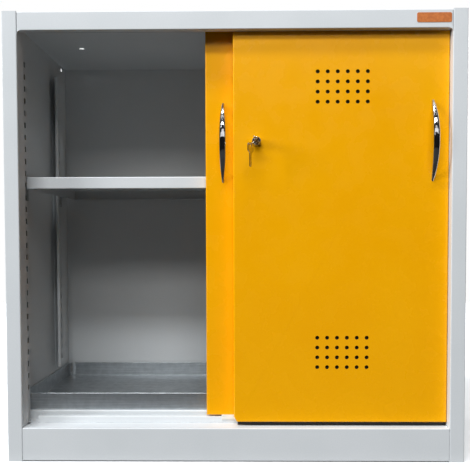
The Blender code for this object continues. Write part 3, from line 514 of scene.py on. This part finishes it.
def makeSide(side, word, look):
    flange, turn, rear = (atDepth(look[key]) for key in ("flangeEndMm", "returnMm", "deepMm"))
    path = [(halfWidth - mm(look["closingGapMm"]), flange), (columnHalf, flange), (columnHalf, turn),
            (openingHalf, turn), (openingHalf, frontY), (halfWidth, frontY), (halfWidth, rear),
            (halfWidth - mm(look["rearLipMm"]), rear)]
    path = mirroredPath(path, side)
    wall = foldedStrip(path, -steelThick * side, mm(look["bendMm"]), "Z", (0, cabinetTop))
    made = asObject(wall, "sideWall_" + word)
    room = sorted((side * (halfWidth - steelThick), side * (openingHalf - cutRoom)))
    head = box((room[0], frontY + steelThick, cabinetTop - mm(look["headMm"])),
               (room[1], rear + cutRoom, cabinetTop + cutRoom))
    spot = (atDepth(look["fixingDepthMm"]), mm(look["fixingHeightMm"]))
    fixingHole = drilled(look["fixingMm"], boreSides, spot, "X", side * halfWidth)
    booleans(made, "DIFFERENCE", [head, slotCutters(side, look["slotDepthMm"], look), fixingHole])
    foot = sorted(side * (halfWidth - mm(look[key])) for key in ("footMm", "footInsetMm"))
    inset = mm(look["footEndMm"])
    flange = box((foot[0], frontY + inset, 0), (foot[1], rear - inset, steelThick))
    booleans(made, "UNION", [flange])
    finishPiece(made, "greyCoat", "cabinet", ["side_panel_" + word])


def makeUpright(side, word, look, slots):
    node = "rear_upright_" + word
    low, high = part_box(node)
    outer = max(abs(low.x), abs(high.x))
    lip, start, end = columnHalf + mm(look["lipMm"]), atDepth(look["startMm"]), atDepth(look["endMm"])
    path = [(lip, atDepth(look["lipBackMm"])), (lip, start), (columnHalf, start), (columnHalf, end),
            (outer, end), (outer, end - mm(look["weldFlangeMm"]))]
    strip = foldedStrip(mirroredPath(path, side), steelThick * side, mm(look["bendMm"]), "Z",
                        (mm(look["footMm"]), high.z))
    made = asObject(strip, "rearColumn_" + word)
    booleans(made, "DIFFERENCE", [slotCutters(side, look["slotDepthMm"], slots)])
    finishPiece(made, "greyCoat", "cabinet", [node])


for side, word in ((-1, "left"), (1, "right")):
    makeSide(side, word, sideSettings)
    makeUpright(side, word, uprightSettings, sideSettings)
print("side walls and columns made")

# Top sheet with its fascia, and the floor sheet with plinth and step
topSettings = {
    "fasciaFootMm": 862, "lipMm": 15, "bendMm": 1.6, "rearFlangeMm": 18, "cornerMm": 6,
    "cornerUpMm": 2, "overlapMm": 4, "wingInsetMm": 2, "seamMm": 1.0,
}
eyeletSettings = {"boreMm": 6.0, "flangeMm": 7.2, "tallMm": 0.4, "boreSides": 32, "sides": 40}
floorSettings = {
    "lipMm": 20, "bendMm": 1.6, "plinthMm": 68, "stepMm": 65, "floorMm": 86, "rearFlangeMm": 20,
    "behindPostMm": 35.3, "behindColumnMm": 71.3, "reliefWideMm": 6, "reliefLongMm": 14,
    "reliefDeepMm": 5, "overlapMm": 4, "wingInsetMm": 2, "wingGapMm": 0.3, "seamMm": 0.5,
}


def makeTop(look):
    high = cadHigh("top_cap")
    half, foot, rear = openingHalf - mm(look["seamMm"]), mm(look["fasciaFootMm"]), high.y
    path = [(atDepth(look["lipMm"]), foot), (frontY, foot), (frontY, high.z), (rear, high.z),
            (rear, high.z - mm(look["rearFlangeMm"]))]
    made = asObject(foldedStrip(path, steelThick, mm(look["bendMm"]), "X", (-half, half)),
                    "topSheetWithFascia")
    extras = []
    bow, inset = mm(look["cornerMm"]), mm(look["wingInsetMm"])
    for side in (-1, 1):
        x = sorted((side * (half - mm(look["overlapMm"])), side * high.x))
        extras.append(box((x[0], frontY + inset, high.z - steelThick), (x[1], rear - inset, high.z)))
        above = foot + mm(look["cornerUpMm"])
        corner = [(half, above), (half - bow, above)]
        corner += arcPoints((half - bow, foot - bow), bow, 90, 0, 9)
        extras.append(prism([(side * x, z) for x, z in corner], "Y", (frontY, frontY + steelThick)))
    booleans(made, "UNION", extras)
    bores = []
    for node in (name for name in sorted(frame["nodes"]) if name.startswith("ceiling_fixing")):
        spot = middle(node)
        bores.append(drilled(eyeletSettings["boreMm"], eyeletSettings["boreSides"], (spot.x, spot.y), "Z",
                             high.z))
    booleans(made, "DIFFERENCE", bores)
    finishPiece(made, "greyCoat", "cabinet", ["top_cap"])


def makeFloor(look):
    low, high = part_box("floor_pan")
    half, rear = openingHalf - mm(look["seamMm"]), high.y
    plinth, floor, bend = mm(look["plinthMm"]), mm(look["floorMm"]), mm(look["bendMm"])
    step, inside = atDepth(look["stepMm"]), half - mm(look["overlapMm"])
    path = [(atDepth(look["lipMm"]), low.z), (frontY, low.z), (frontY, plinth), (step, plinth),
            (step, floor), (rear, floor), (rear, floor - mm(look["rearFlangeMm"]))]
    made = asObject(foldedStrip(path, steelThick, bend, "X", (-half, half)), "floorSheetWithPlinth")
    post, behind = atDepth(look["behindPostMm"]), atDepth(look["behindColumnMm"])
    inset = mm(look["wingInsetMm"])
    tread = [(post, plinth), (step, plinth), (step, floor), (behind + mm(look["overlapMm"]), floor)]
    wide, long = mm(look["reliefWideMm"]) / 2, mm(look["reliefLongMm"]) / 2
    wings, reliefs = [], []
    for side in (-1, 1):
        x = sorted((side * inside, side * (columnHalf - mm(look["wingGapMm"]))))
        wings.append(foldedStrip(tread, steelThick, bend, "X", x))
        x = sorted((side * inside, side * high.x))
        wings.append(box((x[0], behind, floor - steelThick), (x[1], rear - inset, floor)))
        x = sorted((side * (half - wide), side * (half + wide)))
        reliefs.append(box((x[0], post - long, plinth - mm(look["reliefDeepMm"])),
                           (x[1], post + long, plinth + cutRoom)))
    booleans(made, "UNION", wings)
    booleans(made, "DIFFERENCE", reliefs)
    finishPiece(made, "greyCoat", "cabinet", ["floor_pan"])


makeTop(topSettings)
makeFloor(floorSettings)
print("top and floor made")


# Pans folded from one sheet: the doors and the back wall
def insetOutline(outline, inset):
    edges = []
    for a, b in zip(outline, outline[1:] + outline[:1]):
        inward = -normalOf(a, b)
        edges.append((Vector(a) + inward * inset, Vector(b) + inward * inset))
    points = []
    for before, after in zip(edges[-1:] + edges[:-1], edges):
        way, other = before[1] - before[0], after[1] - after[0]
        gap = after[0] - before[0]
        share = (gap.x * other.y - gap.y * other.x) / (way.x * other.y - way.y * other.x)
        points.append(tuple(before[0] + way * share))
    return points


def foldedPan(outline, face, deep, lip, bend, start):
    # The outline is drawn anticlockwise in X and Z as seen from the front. The sheet folds to the rear.
    path = [(start, 0), (0, 0), (0, deep)] + ([(lip, deep)] if lip else [])
    near, far = foldedSection(path, -steelThick, bend)
    return lofted([[(x, face + depth, z) for x, z in insetOutline(outline, inset)]
                   for inset, depth in near + far[::-1]])


doorSettings = {
    "deepMm": 18, "lipMm": 12, "bendMm": 2.6, "faceInsetMm": 14, "footMm": 77, "cornerCutMm": (6, 10),
    "holeMm": 8, "holePitchMm": 20, "breakOutMm": 1, "holeColumns": 6, "holeRows": 4, "roundSides": 40,
    "upperBelowTopMm": 89, "lowerAboveFootMm": 111.8, "frontFieldMm": 168.5,
    "screwBoreMm": 2.8, "lockBoreMm": 9.2, "keeperBoreMm": 11.3,
    # The last three settings place the black sheets that paint the shade seen through the perforations
    "shadeSheetMarginMm": 7, "shadeSheetBehindMm": 4.0, "shadeSheetThickMm": 0.5,
}
backSettings = {"bendMm": 1.6, "faceInsetMm": 10}


def doorPunches(firstX, face, look, holes):
    punches = []
    top, foot = cadHigh("front_door_panel").z - mm(look["upperBelowTopMm"]), look["footMm"]
    for column in range(look["holeColumns"]):
        for row in range(look["holeRows"]):
            across, up = firstX + mm(look["holePitchMm"] * column), look["holePitchMm"] * row
            for z in (top - mm(up), mm(foot + look["lowerAboveFootMm"] + up)):

                def outlineOf(wider, spot=(across, z)):
                    return circle(mm(look["holeMm"]) / 2 + wider, boreSides, spot)

                punches.append(punch(outlineOf, "Y", face, 1, mm(look["breakOutMm"])))
    for spot, radiusMm in holes:
        punches.append(drilled(radiusMm, look["roundSides"], (spot.x, spot.z), "Y", face))
    return gathered(punches)


def makePaintedShadeSheets(word, firstX, face, look):
    # Black nylon sheets close behind the perforations keep the holes dark: painted shade, standing in for
    # the shaded inside of the door
    span, across = (mm(look["holePitchMm"] * (look[key] - 1)) for key in ("holeRows", "holeColumns"))
    upper = cadHigh("front_door_panel").z - mm(look["upperBelowTopMm"]) - span
    margin, near = mm(look["shadeSheetMarginMm"]), face + mm(look["shadeSheetBehindMm"])
    for place, level in (("upper", upper), ("lower", mm(look["footMm"] + look["lowerAboveFootMm"]))):
        sheet = box((firstX - margin, near, level - margin),
                    (firstX + across + margin, near + mm(look["shadeSheetThickMm"]), level + span + margin))
        finishPiece(asObject(sheet, word + "DoorPaintedShadeSheet_" + place), "blackNylon", word + "_door")


def makeDoor(word, firstX, holes, cornerCut, look):
    node = word + "_door_panel"
    low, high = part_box(node)
    outline = rectangle(low.x, low.z, high.x, high.z)
    if cornerCut:
        wide, tall = cornerCut
        outline[:1] = [(low.x, low.z + mm(tall)), (low.x + mm(wide), low.z)]
    pan = foldedPan(outline, low.y, mm(look["deepMm"]), mm(look["lipMm"]), mm(look["bendMm"]),
                    mm(look["faceInsetMm"]))
    made = asObject(pan, word + "DoorSheet")
    screws = [(middle(word + "_handle_screw_" + place), look["screwBoreMm"])
              for place in ("lower", "upper")]
    booleans(made, "DIFFERENCE", [doorPunches(firstX, low.y, look, screws + holes)])
    finishPiece(made, "yellowCoat", word + "_door", [node])
    makePaintedShadeSheets(word, firstX, low.y, look)


def makeBack(look):
    low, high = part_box("back_wall")
    pan = foldedPan(rectangle(low.x, low.z, high.x, high.z), low.y, high.y - low.y, 0,
                    mm(look["bendMm"]), mm(look["faceInsetMm"]))
    finishPiece(asObject(pan, "backSheet"), "greyCoat", "cabinet", ["back_wall"])


lockAt = middle("lock_cylinder")
fieldHalf = mm(doorSettings["holePitchMm"] * (doorSettings["holeColumns"] - 1)) / 2
makeDoor("front", cadLow("front_door_panel").x + mm(doorSettings["frontFieldMm"]),
         [(lockAt, doorSettings["lockBoreMm"])], doorSettings["cornerCutMm"], doorSettings)
makeDoor("rear", middle("rear_door_panel").x - fieldHalf,
         [(middle("lock_keeper"), doorSettings["keeperBoreMm"])], None, doorSettings)
makeBack(backSettings)
print("doors and back made")

# Shelf, guide rail and spill tray
shelfSettings = {"hemMm": 10, "bendMm": 2.0, "endInsetMm": 0.5}
railSettings = {"sheetMm": 1.2, "bendMm": 1.9}
traySettings = {"cornerMm": 20, "hemMm": 8, "rimMm": 1.1, "footBendMm": 2.0, "floorInsetMm": 8}


def makeShelf(look):
    low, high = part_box("shelf")
    hem, inset = mm(look["hemMm"]), mm(look["endInsetMm"])
    path = [(low.y + hem, low.z), (low.y, low.z), (low.y, high.z), (high.y, high.z), (high.y, low.z),
            (high.y - hem, low.z)]
    plate = foldedStrip(path, steelThick, mm(look["bendMm"]), "X", (low.x, high.x))
    made = asObject(plate, "shelfPlate")
    ends = []
    for x in ((low.x, low.x + steelThick), (high.x - steelThick, high.x)):
        ends.append(box((x[0], low.y + inset, low.z), (x[1], high.y - inset, high.z - inset)))
    booleans(made, "UNION", ends)
    finishPiece(made, "greyCoat", "cabinet", ["shelf"])


def makeRail(look):
    low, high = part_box("guide_rail")
    path = [(low.y, low.z), (low.y, high.z), (high.y, high.z), (high.y, low.z)]
    rail = foldedStrip(path, mm(look["sheetMm"]), mm(look["bendMm"]), "X", (low.x, high.x))
    finishPiece(asObject(rail, "guideRail"), "greyCoat", "cabinet", ["guide_rail"])


def makeTray(look):
    low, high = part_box("spill_tray")
    tall, start = high.z - low.z, mm(look["floorInsetMm"])
    bend, rim, hem = mm(look["footBendMm"]), mm(look["rimMm"]), mm(look["hemMm"])
    section = [(start, 0)] + arcPoints((bend, bend), bend, 270, 180)
    section += arcPoints((rim, tall - rim), rim, 180, 0)
    section += arcPoints((rim, tall - hem + rim), rim, 0, -90, 4)
    section += arcPoints((bend, bend), bend - steelThick, 180, 270) + [(start, steelThick)]
    rings = []
    for inset, level in section:
        outline = roundedOutline(high.x - inset, low.y + inset, high.y - inset,
                                 mm(look["cornerMm"]) - inset, 10)
        rings.append([(x, y, low.z + level) for x, y in outline])
    finishPiece(asObject(lofted(rings), "spillTray"), "galvanised", "cabinet", ["spill_tray"])


makeShelf(shelfSettings)
makeRail(railSettings)
makeTray(traySettings)
print("shelf, rail and tray made")

# Bow handles, each a leaf-shaped bow of oval section
handleSettings = {
    "longMm": 156, "reachMm": 30, "midWideMm": 13, "tipWideMm": 6, "midThickMm": 7, "tipThickMm": 5,
    "stations": 72, "sides": 32, "swellShare": 0.8,
}


def makeHandle(word, look):
    node = word + "_handle"
    spot, foot, half = middle(node), cadHigh(node).y, mm(look["longMm"]) / 2
    rise = mm(look["reachMm"] - look["midThickMm"] / 2)
    radius = (half * half + rise * rise) / (2 * rise)
    spread = math.asin(half / radius)
    centre = Vector((spot.x, foot - rise + radius, spot.z))
    rings = []
    for station in range(look["stations"] + 1):
        share = station / look["stations"]
        turn = spread * (2 * share - 1)
        swell = math.sin(math.pi * share) ** look["swellShare"]
        wide = mm(look["tipWideMm"] + (look["midWideMm"] - look["tipWideMm"]) * swell) / 2
        thick = mm(look["tipThickMm"] + (look["midThickMm"] - look["tipThickMm"]) * swell) / 2
        outward = Vector((0, -math.cos(turn), math.sin(turn)))
        way = Vector((0, math.sin(turn), math.cos(turn)))
        ring = []
        for x, y in circle(1, look["sides"]):
            point = centre + outward * (radius + thick * y) + Vector((wide * x, 0, 0))
            if station in (0, look["stations"]):
                point = point + way * ((foot - point.y) / way.y)
            ring.append(point)
        rings.append(ring)
    finishPiece(asObject(lofted(rings), word + "BowHandle"), "chrome", word + "_door", [node],
                smoothDeg=50)


makeHandle("front", handleSettings)
makeHandle("rear", handleSettings)

# Push lock with its plug, key, ring and spare key
lockSettings = {
    "radiusMm": 8.8, "edgeMm": 1.2, "boreMm": 5.8, "plugMm": 5.5, "plugDeepMm": 18, "easeMm": 0.3,
    "leanDeg": 45, "keywayMm": (7.1, 2.4), "bladeInMm": 16, "proudMm": 0.6, "clearMm": 0.6,
    "sides": 64, "plugSides": 48,
}
keySettings = {
    "bladeWideMm": 6.5, "bladeThickMm": 1.8, "bladeLongMm": 26, "shoulderMm": 4, "insideMm": 16,
    "bowWideMm": 19, "bowLongMm": 21, "bowHoleMm": 2.6, "bowHoleInsetMm": 5.5, "edgeMm": 0.35,
    "notchShares": (0.20, 0.38, 0.55, 0.74), "cutShares": (0.30, 0.15, 0.35, 0.20),
    "rampShare": 0.06, "ringPlayMm": 0.3, "spareTurnDeg": 55, "smoothDeg": 30,
}
ringSettings = {"radiusMm": 10, "wireMm": 0.7, "droopDeg": 40, "stations": 64, "sides": 14}
lockFace = cadLow("lock_cylinder").y


def leaning(shape):
    turn = Matrix.Rotation(math.radians(lockSettings["leanDeg"]), 3, "Y")
    bmesh.ops.rotate(shape, cent=Vector((lockAt.x, 0, lockAt.z)), matrix=turn, verts=shape.verts)
    return shape


def makeLock(look):
    radius, edge, ease = mm(look["radiusMm"]), mm(look["edgeMm"]), mm(look["easeMm"])
    bore, plug, inner = mm(look["boreMm"]), mm(look["plugMm"]), lockFace + mm(look["plugDeepMm"])
    back, centre = cadHigh("lock_cylinder").y - mm(look["clearMm"]), (lockAt.x, lockAt.z)
    profile = [(0, inner + ease), (bore, inner + ease), (bore, lockFace + ease), (bore + ease, lockFace)]
    profile += arcPoints((radius - edge, lockFace + edge), edge, -90, 0) + [(radius, back), (0, back)]
    body = turned(profile, centre, look["sides"])
    finishPiece(asObject(body, "lockCylinder"), "chrome", "lock_cylinder", ["lock_cylinder"])
    face = lockFace - mm(look["proudMm"])
    profile = [(0, face), (plug - ease, face), (plug, face + ease), (plug, inner), (0, inner)]
    made = asObject(turned(profile, centre, look["plugSides"]), "lockPlug")
    half, thin = (mm(value) / 2 for value in look["keywayMm"])
    keyway = box((centre[0] - half, face - cutRoom, centre[1] - thin),
                 (centre[0] + half, lockFace + mm(look["bladeInMm"]) + ease, centre[1] + thin))
    booleans(made, "DIFFERENCE", [leaning(keyway)])
    finishPiece(made, "nickel", "lock_key", ["lock_plug"])


def keyOutline(tip, shoulder, end, look):
    half, wide = mm(look["bladeWideMm"]) / 2, mm(look["bowWideMm"]) / 2
    way = tip - shoulder
    blade = []
    for place, cut in zip(look["notchShares"], look["cutShares"]):
        for offset, drop in ((-look["rampShare"], 0), (0, cut), (look["rampShare"], 0)):
            blade.append((half - drop * half, shoulder + way * (place + offset)))
    long = abs(end - shoulder)
    sign = 1 if end > shoulder else -1
    soft = wide / 2
    bow = [(x, shoulder + sign * y) for x, y in arcPoints((wide - soft, long - soft), soft, 0, 90, 12)]
    right = [(half, shoulder)] + blade + [(half / 2, tip)]
    left = [(-half / 2, tip), (-half, tip - way * look["rampShare"]), (-half, shoulder)]
    neck = shoulder + sign * soft
    return left + [(-wide, neck)] + [(-x, y) for x, y in bow] + bow[::-1] + [(wide, neck)] + right


def makeKeyInLock(look, holeY, thin):
    shoulder = lockFace - mm(look["shoulderMm"])
    end = shoulder - mm(look["bowLongMm"])
    outline = keyOutline(lockFace + mm(look["insideMm"]), shoulder, end, look)
    blank = prism([(lockAt.x + x, y) for x, y in outline], "Z", (lockAt.z - thin, lockAt.z + thin))
    made = asObject(leaning(blank), "keyInLock")
    hole = drilled(look["bowHoleMm"], boreSides, (lockAt.x, holeY), "Z", lockAt.z)
    booleans(made, "DIFFERENCE", [leaning(hole)])
    finishPiece(made, "nickel", "lock_key", ["lock_key"], look["edgeMm"], look["smoothDeg"])


def makeRing(look, holeY):
    # The ring hangs forward and down from the bow's hole. What comes back is its lowest point.
    lean, droop = math.radians(lockSettings["leanDeg"]), math.radians(look["droopDeg"])
    radius, wire = mm(look["radiusMm"]), mm(look["wireMm"])
    forward, across = Vector((0, -1, 0)), Vector((-math.sin(lean), 0, -math.cos(lean)))
    centre = Vector((lockAt.x, holeY, lockAt.z))
    centre = centre + (forward * math.cos(droop) + across * math.sin(droop)) * radius
    loops = []
    for station in range(look["stations"]):
        turn = math.tau * station / look["stations"]
        outward = forward * math.cos(turn) + across * math.sin(turn)
        loops.append([centre + outward * (radius + x) + forward.cross(across) * y
                      for x, y in circle(wire, look["sides"])])
    finishPiece(asObject(lofted(loops, True), "keyRing"), "nickel", "lock_key", ["key_ring"],
                smoothDeg=60)
    return centre + across * radius


def makeSpareKey(look, pivot, thin):
    holeZ = pivot.z - mm(look["bowHoleMm"] - ringSettings["wireMm"] - look["ringPlayMm"])
    top = holeZ + mm(look["bowHoleInsetMm"])
    shoulder = top - mm(look["bowLongMm"])
    outline = keyOutline(shoulder - mm(look["bladeLongMm"]), shoulder, top, look)
    blank = prism([(pivot.x + x, z) for x, z in outline], "Y", (pivot.y - thin, pivot.y + thin))
    made = asObject(blank, "spareKey")
    hole = drilled(look["bowHoleMm"], boreSides, (pivot.x, holeZ), "Y", pivot.y)
    booleans(made, "DIFFERENCE", [hole])
    turn = Matrix.Rotation(math.radians(look["spareTurnDeg"]), 4, "Z")
    made.data.transform(Matrix.Translation(pivot) @ turn @ Matrix.Translation(-pivot))
    finishPiece(made, "nickel", "spare_key", ["spare_key"], look["edgeMm"], look["smoothDeg"])


def makeKeys(look):
    thin = mm(look["bladeThickMm"]) / 2
    holeY = lockFace - mm(look["shoulderMm"] + look["bowLongMm"] - look["bowHoleInsetMm"])
    makeKeyInLock(look, holeY, thin)
    makeSpareKey(look, makeRing(ringSettings, holeY), thin)


makeLock(lockSettings)
makeKeys(keySettings)
print("handles, lock and keys made")

# Rollers, glides, a black strip of painted shade under the front door, ceiling eyelets, the bare badge
# plate and the tray's weld
rollerSettings = {"radiusMm": 8, "grooveMm": 0.8, "boreMm": 2.7, "sides": 48}
glideSettings = {"playMm": 0.6, "edgeMm": 0.6}
# Settings of the black strip of painted shade under the front door
gapShadeStripSettings = {
    "insetMm": 0.6, "behindMm": 1.6, "thickMm": 1.8, "upMm": 0.1, "dropMm": 7.2, "edgeMm": 0.3,
}
badgeSettings = {
    "leftMm": 358.8, "rightMm": 427.0, "lowMm": 872.6, "highMm": 891.6, "thickMm": 0.7,
    "gapMm": 0.02, "cornerMm": 3.4, "edgeMm": 0.25,
}
weldSettings = {
    "radiusMm": 1.3, "stations": 26, "sides": 10, "insetMm": 6.5, "footMm": 1.2, "shorterMm": 10,
    "tipMm": 8.6, "driftMm": 0.54, "driftTurn": 9, "swell": 0.35, "swellTurn": 41,
}


def makeRoller(node, look):
    spot, (low, high) = middle(node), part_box(node)
    radius, groove, bore = mm(look["radiusMm"]), mm(look["grooveMm"]), mm(look["boreMm"])
    profile = [(bore, low.y), (radius - groove, low.y), (radius, low.y + groove),
               (radius, high.y - groove), (radius - groove, high.y), (bore, high.y)]
    roller = turned(profile, (spot.x, spot.z), look["sides"], closed=True)
    finishPiece(asObject(roller, "nylon_" + node), "whiteNylon", node, [node])


def makeGlide(node, look):
    # A block with a groove that runs over the guide rail
    low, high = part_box(node)
    railLow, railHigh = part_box("guide_rail")
    play = mm(look["playMm"])
    groove = box((low.x - cutRoom, railLow.y - play, low.z - cutRoom),
                 (high.x + cutRoom, railHigh.y + play, railHigh.z + play))
    made = asObject(box(low, high), "nylon_" + node)
    booleans(made, "DIFFERENCE", [groove])
    finishPiece(made, "whiteNylon", "rear_door", [node], look["edgeMm"])


def makeGapShadeStrip(look):
    # A black strip under the front door that fills the gap above the plinth: painted shade for the dark
    # gap under the door
    low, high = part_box("front_door_panel")
    start = low.x + mm(doorSettings["cornerCutMm"][0] + look["insetMm"])
    near = low.y + mm(look["behindMm"])
    strip = box((start, near, low.z - mm(look["dropMm"])),
                (high.x - mm(look["insetMm"]), near + mm(look["thickMm"]), low.z + mm(look["upMm"])))
    finishPiece(asObject(strip, "frontDoorGapShadeStrip"), "rubber", "front_door", (), look["edgeMm"])


def makeEyelet(node, look):
    high, spot = cadHigh(node), middle(node)
    bore, flange, tall = mm(look["boreMm"]), mm(look["flangeMm"]), mm(look["tallMm"])
    profile = [(bore, high.z), (bore, high.z - tall), (flange - tall, high.z - tall), (flange, high.z)]
    shape = turned(profile, (spot.x, spot.y), look["sides"], "Z", closed=True)
    finishPiece(asObject(shape, "eyelet_" + node), "zincSteel", "cabinet", [node])


def makeBadge(look):
    half = mm(look["rightMm"] - look["leftMm"]) / 2
    centre = mm(look["rightMm"] + look["leftMm"]) / 2
    outline = roundedOutline(half, mm(look["lowMm"]), mm(look["highMm"]), mm(look["cornerMm"]))
    plate = prism([(centre + x, z) for x, z in outline], "Y",
                  (atDepth(-look["thickMm"]), atDepth(-look["gapMm"])))
    finishPiece(asObject(plate, "bareBadgePlate"), "badge", "cabinet", (), look["edgeMm"])


def makeWeld(look):
    low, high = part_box("spill_tray")
    x, y, foot = low.x + mm(look["insetMm"]), high.y - mm(look["insetMm"]), low.z + mm(look["footMm"])
    rings = [[(x, y, foot)]]
    for station in range(look["stations"]):
        share = (station + 0.5) / look["stations"]
        level = foot + (high.z - low.z - mm(look["shorterMm"])) * share
        drift = mm(look["driftMm"]) * math.sin(look["driftTurn"] * share)
        radius = mm(look["radiusMm"]) * (1 + look["swell"] * math.sin(look["swellTurn"] * share))
        rings.append([(spot[0], spot[1], level)
                      for spot in circle(radius, look["sides"], (x + drift, y - drift))])
    rings.append([(x, y, high.z - mm(look["tipMm"]))])
    finishPiece(asObject(lofted(rings), "cornerWeld"), "weld", "cabinet", (), smoothDeg=60)


for node in sorted(frame["nodes"]):
    if "_roller_" in node:
        makeRoller(node, rollerSettings)
    if node.startswith("rear_glide"):
        makeGlide(node, glideSettings)
    if node.startswith("ceiling_fixing"):
        makeEyelet(node, eyeletSettings)
makeGapShadeStrip(gapShadeStripSettings)
makeBadge(badgeSettings)
makeWeld(weldSettings)
print("small pieces made")

# The CAD pieces that stay get the finish of their slot
materialOf = {slot: material for material, slot in slotOf.items() if material != "weld"}
for row in frame["record"]["subparts"]:
    node = frame["nodes"][row["node"]]
    if not node.hide_render:
        node.data.materials.clear()
        node.data.materials.append(materials[materialOf[row["material_slot"]]])

# Studio floor, dark booth, sky and lamps
studioSettings = {
    "floorSizeM": 6, "floorHex": "FCFCFC", "floorShadeHex": "2A2A28", "roughness": 0.9,
    "skyHex": "FFF4E6", "skyStrength": 0.012,
    "cardHex": "101010", "cardNearM": 0.22, "cardFarM": 6, "cardHalfWideM": 6,
    "cardBandsM": ((0.004, 2.8), (4.2, 5.6), (7.1, 9.6), (11.5, 14.5)),
}


def plainMaterial(name, code):
    made = bpy.data.materials.new(name)
    made.use_nodes = True
    shader = made.node_tree.nodes["Principled BSDF"]
    shader.inputs["Base Color"].default_value = linear(code)
    shader.inputs["Roughness"].default_value = studioSettings["roughness"]
    return made, made.node_tree, shader


def makeFloorPlane(look):
    shape = bmesh.new()
    half = look["floorSizeM"] / 2
    shape.faces.new([shape.verts.new((x, y, 0)) for x, y in rectangle(-half, -half, half, half)])
    floor = asObject(shape, "studioFloor")
    made, tree, shader = plainMaterial("paleStudioFloor", look["floorHex"])
    path = addNode(tree, "LightPath")
    colour = blendColours(tree, path.outputs["Is Diffuse Ray"], look["floorHex"], look["floorShadeHex"])
    tree.links.new(colour, shader.inputs["Base Color"])
    floor.data.materials.append(made)


def makeDarkCard(look):
    # A dark booth in front, seen only in reflections. White sky shows through the gaps between its bands.
    near, far, half = -look["cardNearM"], -look["cardFarM"], look["cardHalfWideM"]
    plan = [(-half, near), (-half, far), (half, far), (half, near)]
    bands = look["cardBandsM"]
    foot, top = bands[0][0], bands[-1][1]
    shape = bmesh.new()
    for (x, y), (nextX, nextY), levels in zip(plan, plan[1:], (((foot, top),), bands, ((foot, top),))):
        for low, high in levels:
            corners = ((x, y, low), (nextX, nextY, low), (nextX, nextY, high), (x, y, high))
            shape.faces.new([shape.verts.new(corner) for corner in corners])
    shape.faces.new([shape.verts.new((x, y, foot)) for x, y in plan])
    card = asObject(shape, "darkStudioCard")
    card.data.materials.append(plainMaterial("blackStudioCloth", look["cardHex"])[0])
    card.visible_camera = card.visible_diffuse = card.visible_shadow = False
    card.visible_transmission = card.visible_volume_scatter = False


def makeSky(look):
    world = bpy.data.worlds.new("studioSky")
    bpy.context.scene.world = world
    world.use_nodes = True
    tree = world.node_tree
    path = addNode(tree, "LightPath")
    seen = path.outputs["Is Camera Ray"]
    for ray in ("Is Glossy Ray", "Is Transmission Ray"):
        seen = combined(tree, "MAXIMUM", seen, path.outputs[ray])
    back = tree.nodes["Background"]
    tree.links.new(blendColours(tree, seen, look["skyHex"], "FFFFFF"), back.inputs["Color"])
    tree.links.new(between(tree, seen, look["skyStrength"], 1.0, 0, 1), back.inputs["Strength"])


# Long panels of light in one plane ahead of the front. Sides and slopes are metres per metre ahead, from
# the top front edge. glow is a panel's own brightness, 1 for white.
panelSettings = {
    "highPanel": {"sides": (-3.0, 0.4), "slopes": (2.2, 3.3), "glow": 20.5, "hex": "F4F9FF"},
    "lowPanel": {"sides": (-0.72, 0.36), "slopes": (0.83, 1.07), "glow": 17.5, "hex": "FAFDFF"},
    "fillPanel": {"sides": (-0.72, 0.36), "slopes": (0.4, 0.62), "glow": 4.4, "hex": "FFFDFA"},
    "leftPanel": {"sides": (-4.2, -1.7), "slopes": (0.3, 1.1), "glow": 24, "hex": "FAFCFF"},
}
glossyPanels = ("highPanel", "lowPanel")      # the ones that show in reflections
panelsAheadM = 6
# Two lamps behind, for the views from there. level is how bright a white card facing the lamp would be.
lampSettings = {
    "rearRightLamp": {"azimuthDeg": 125, "elevationDeg": 18, "farM": 6, "sizeM": 2, "level": 0.45},
    "rearLeftLamp": {"azimuthDeg": -140, "elevationDeg": 18, "farM": 6, "sizeM": 2, "level": 0.35},
}
lampAimMm = 450      # the rear lamps point at this height on the front


def areaLamp(name, sizes, energy, place, way, hexCode="FFFFFF", glossy=True):
    data = bpy.data.lights.new(name, "AREA")
    data.shape = "RECTANGLE"
    data.size, data.size_y = sizes
    data.energy = energy
    data.color = linear(hexCode)[:3]
    lamp = bpy.data.objects.new(name, data)
    lamp.location = place
    lamp.rotation_mode = "QUATERNION"
    lamp.rotation_quaternion = way.to_track_quat("-Z", "Y")
    lamp.visible_camera = False
    lamp.visible_glossy = glossy
    bpy.context.scene.collection.objects.link(lamp)


def makePanel(name, look, ahead):
    sizes = [(high - low) * ahead for low, high in (look["sides"], look["slopes"])]
    place = Vector((sum(look["sides"]) / 2, -1, sum(look["slopes"]) / 2)) * ahead
    energy = look["glow"] * math.pi * sizes[0] * sizes[1]
    place = place + Vector((0, frontY, cabinetTop))
    areaLamp(name, sizes, energy, place, Vector((0, 1, 0)), look["hex"], name in glossyPanels)


def makeLamp(name, look):
    azimuth, elevation = math.radians(look["azimuthDeg"]), math.radians(look["elevationDeg"])
    way = Vector((math.sin(azimuth) * math.cos(elevation), -math.cos(azimuth) * math.cos(elevation),
                  math.sin(elevation)))
    energy = look["level"] * (math.pi * look["farM"]) ** 2
    place = Vector((0, frontY, mm(lampAimMm))) + way * look["farM"]
    areaLamp(name, (look["sizeM"], look["sizeM"]), energy, place, -way)


makeFloorPlane(studioSettings)
makeDarkCard(studioSettings)
makeSky(studioSettings)
for name, look in panelSettings.items():
    makePanel(name, look, panelsAheadM)
for name, look in lampSettings.items():
    makeLamp(name, look)
print("studio made")
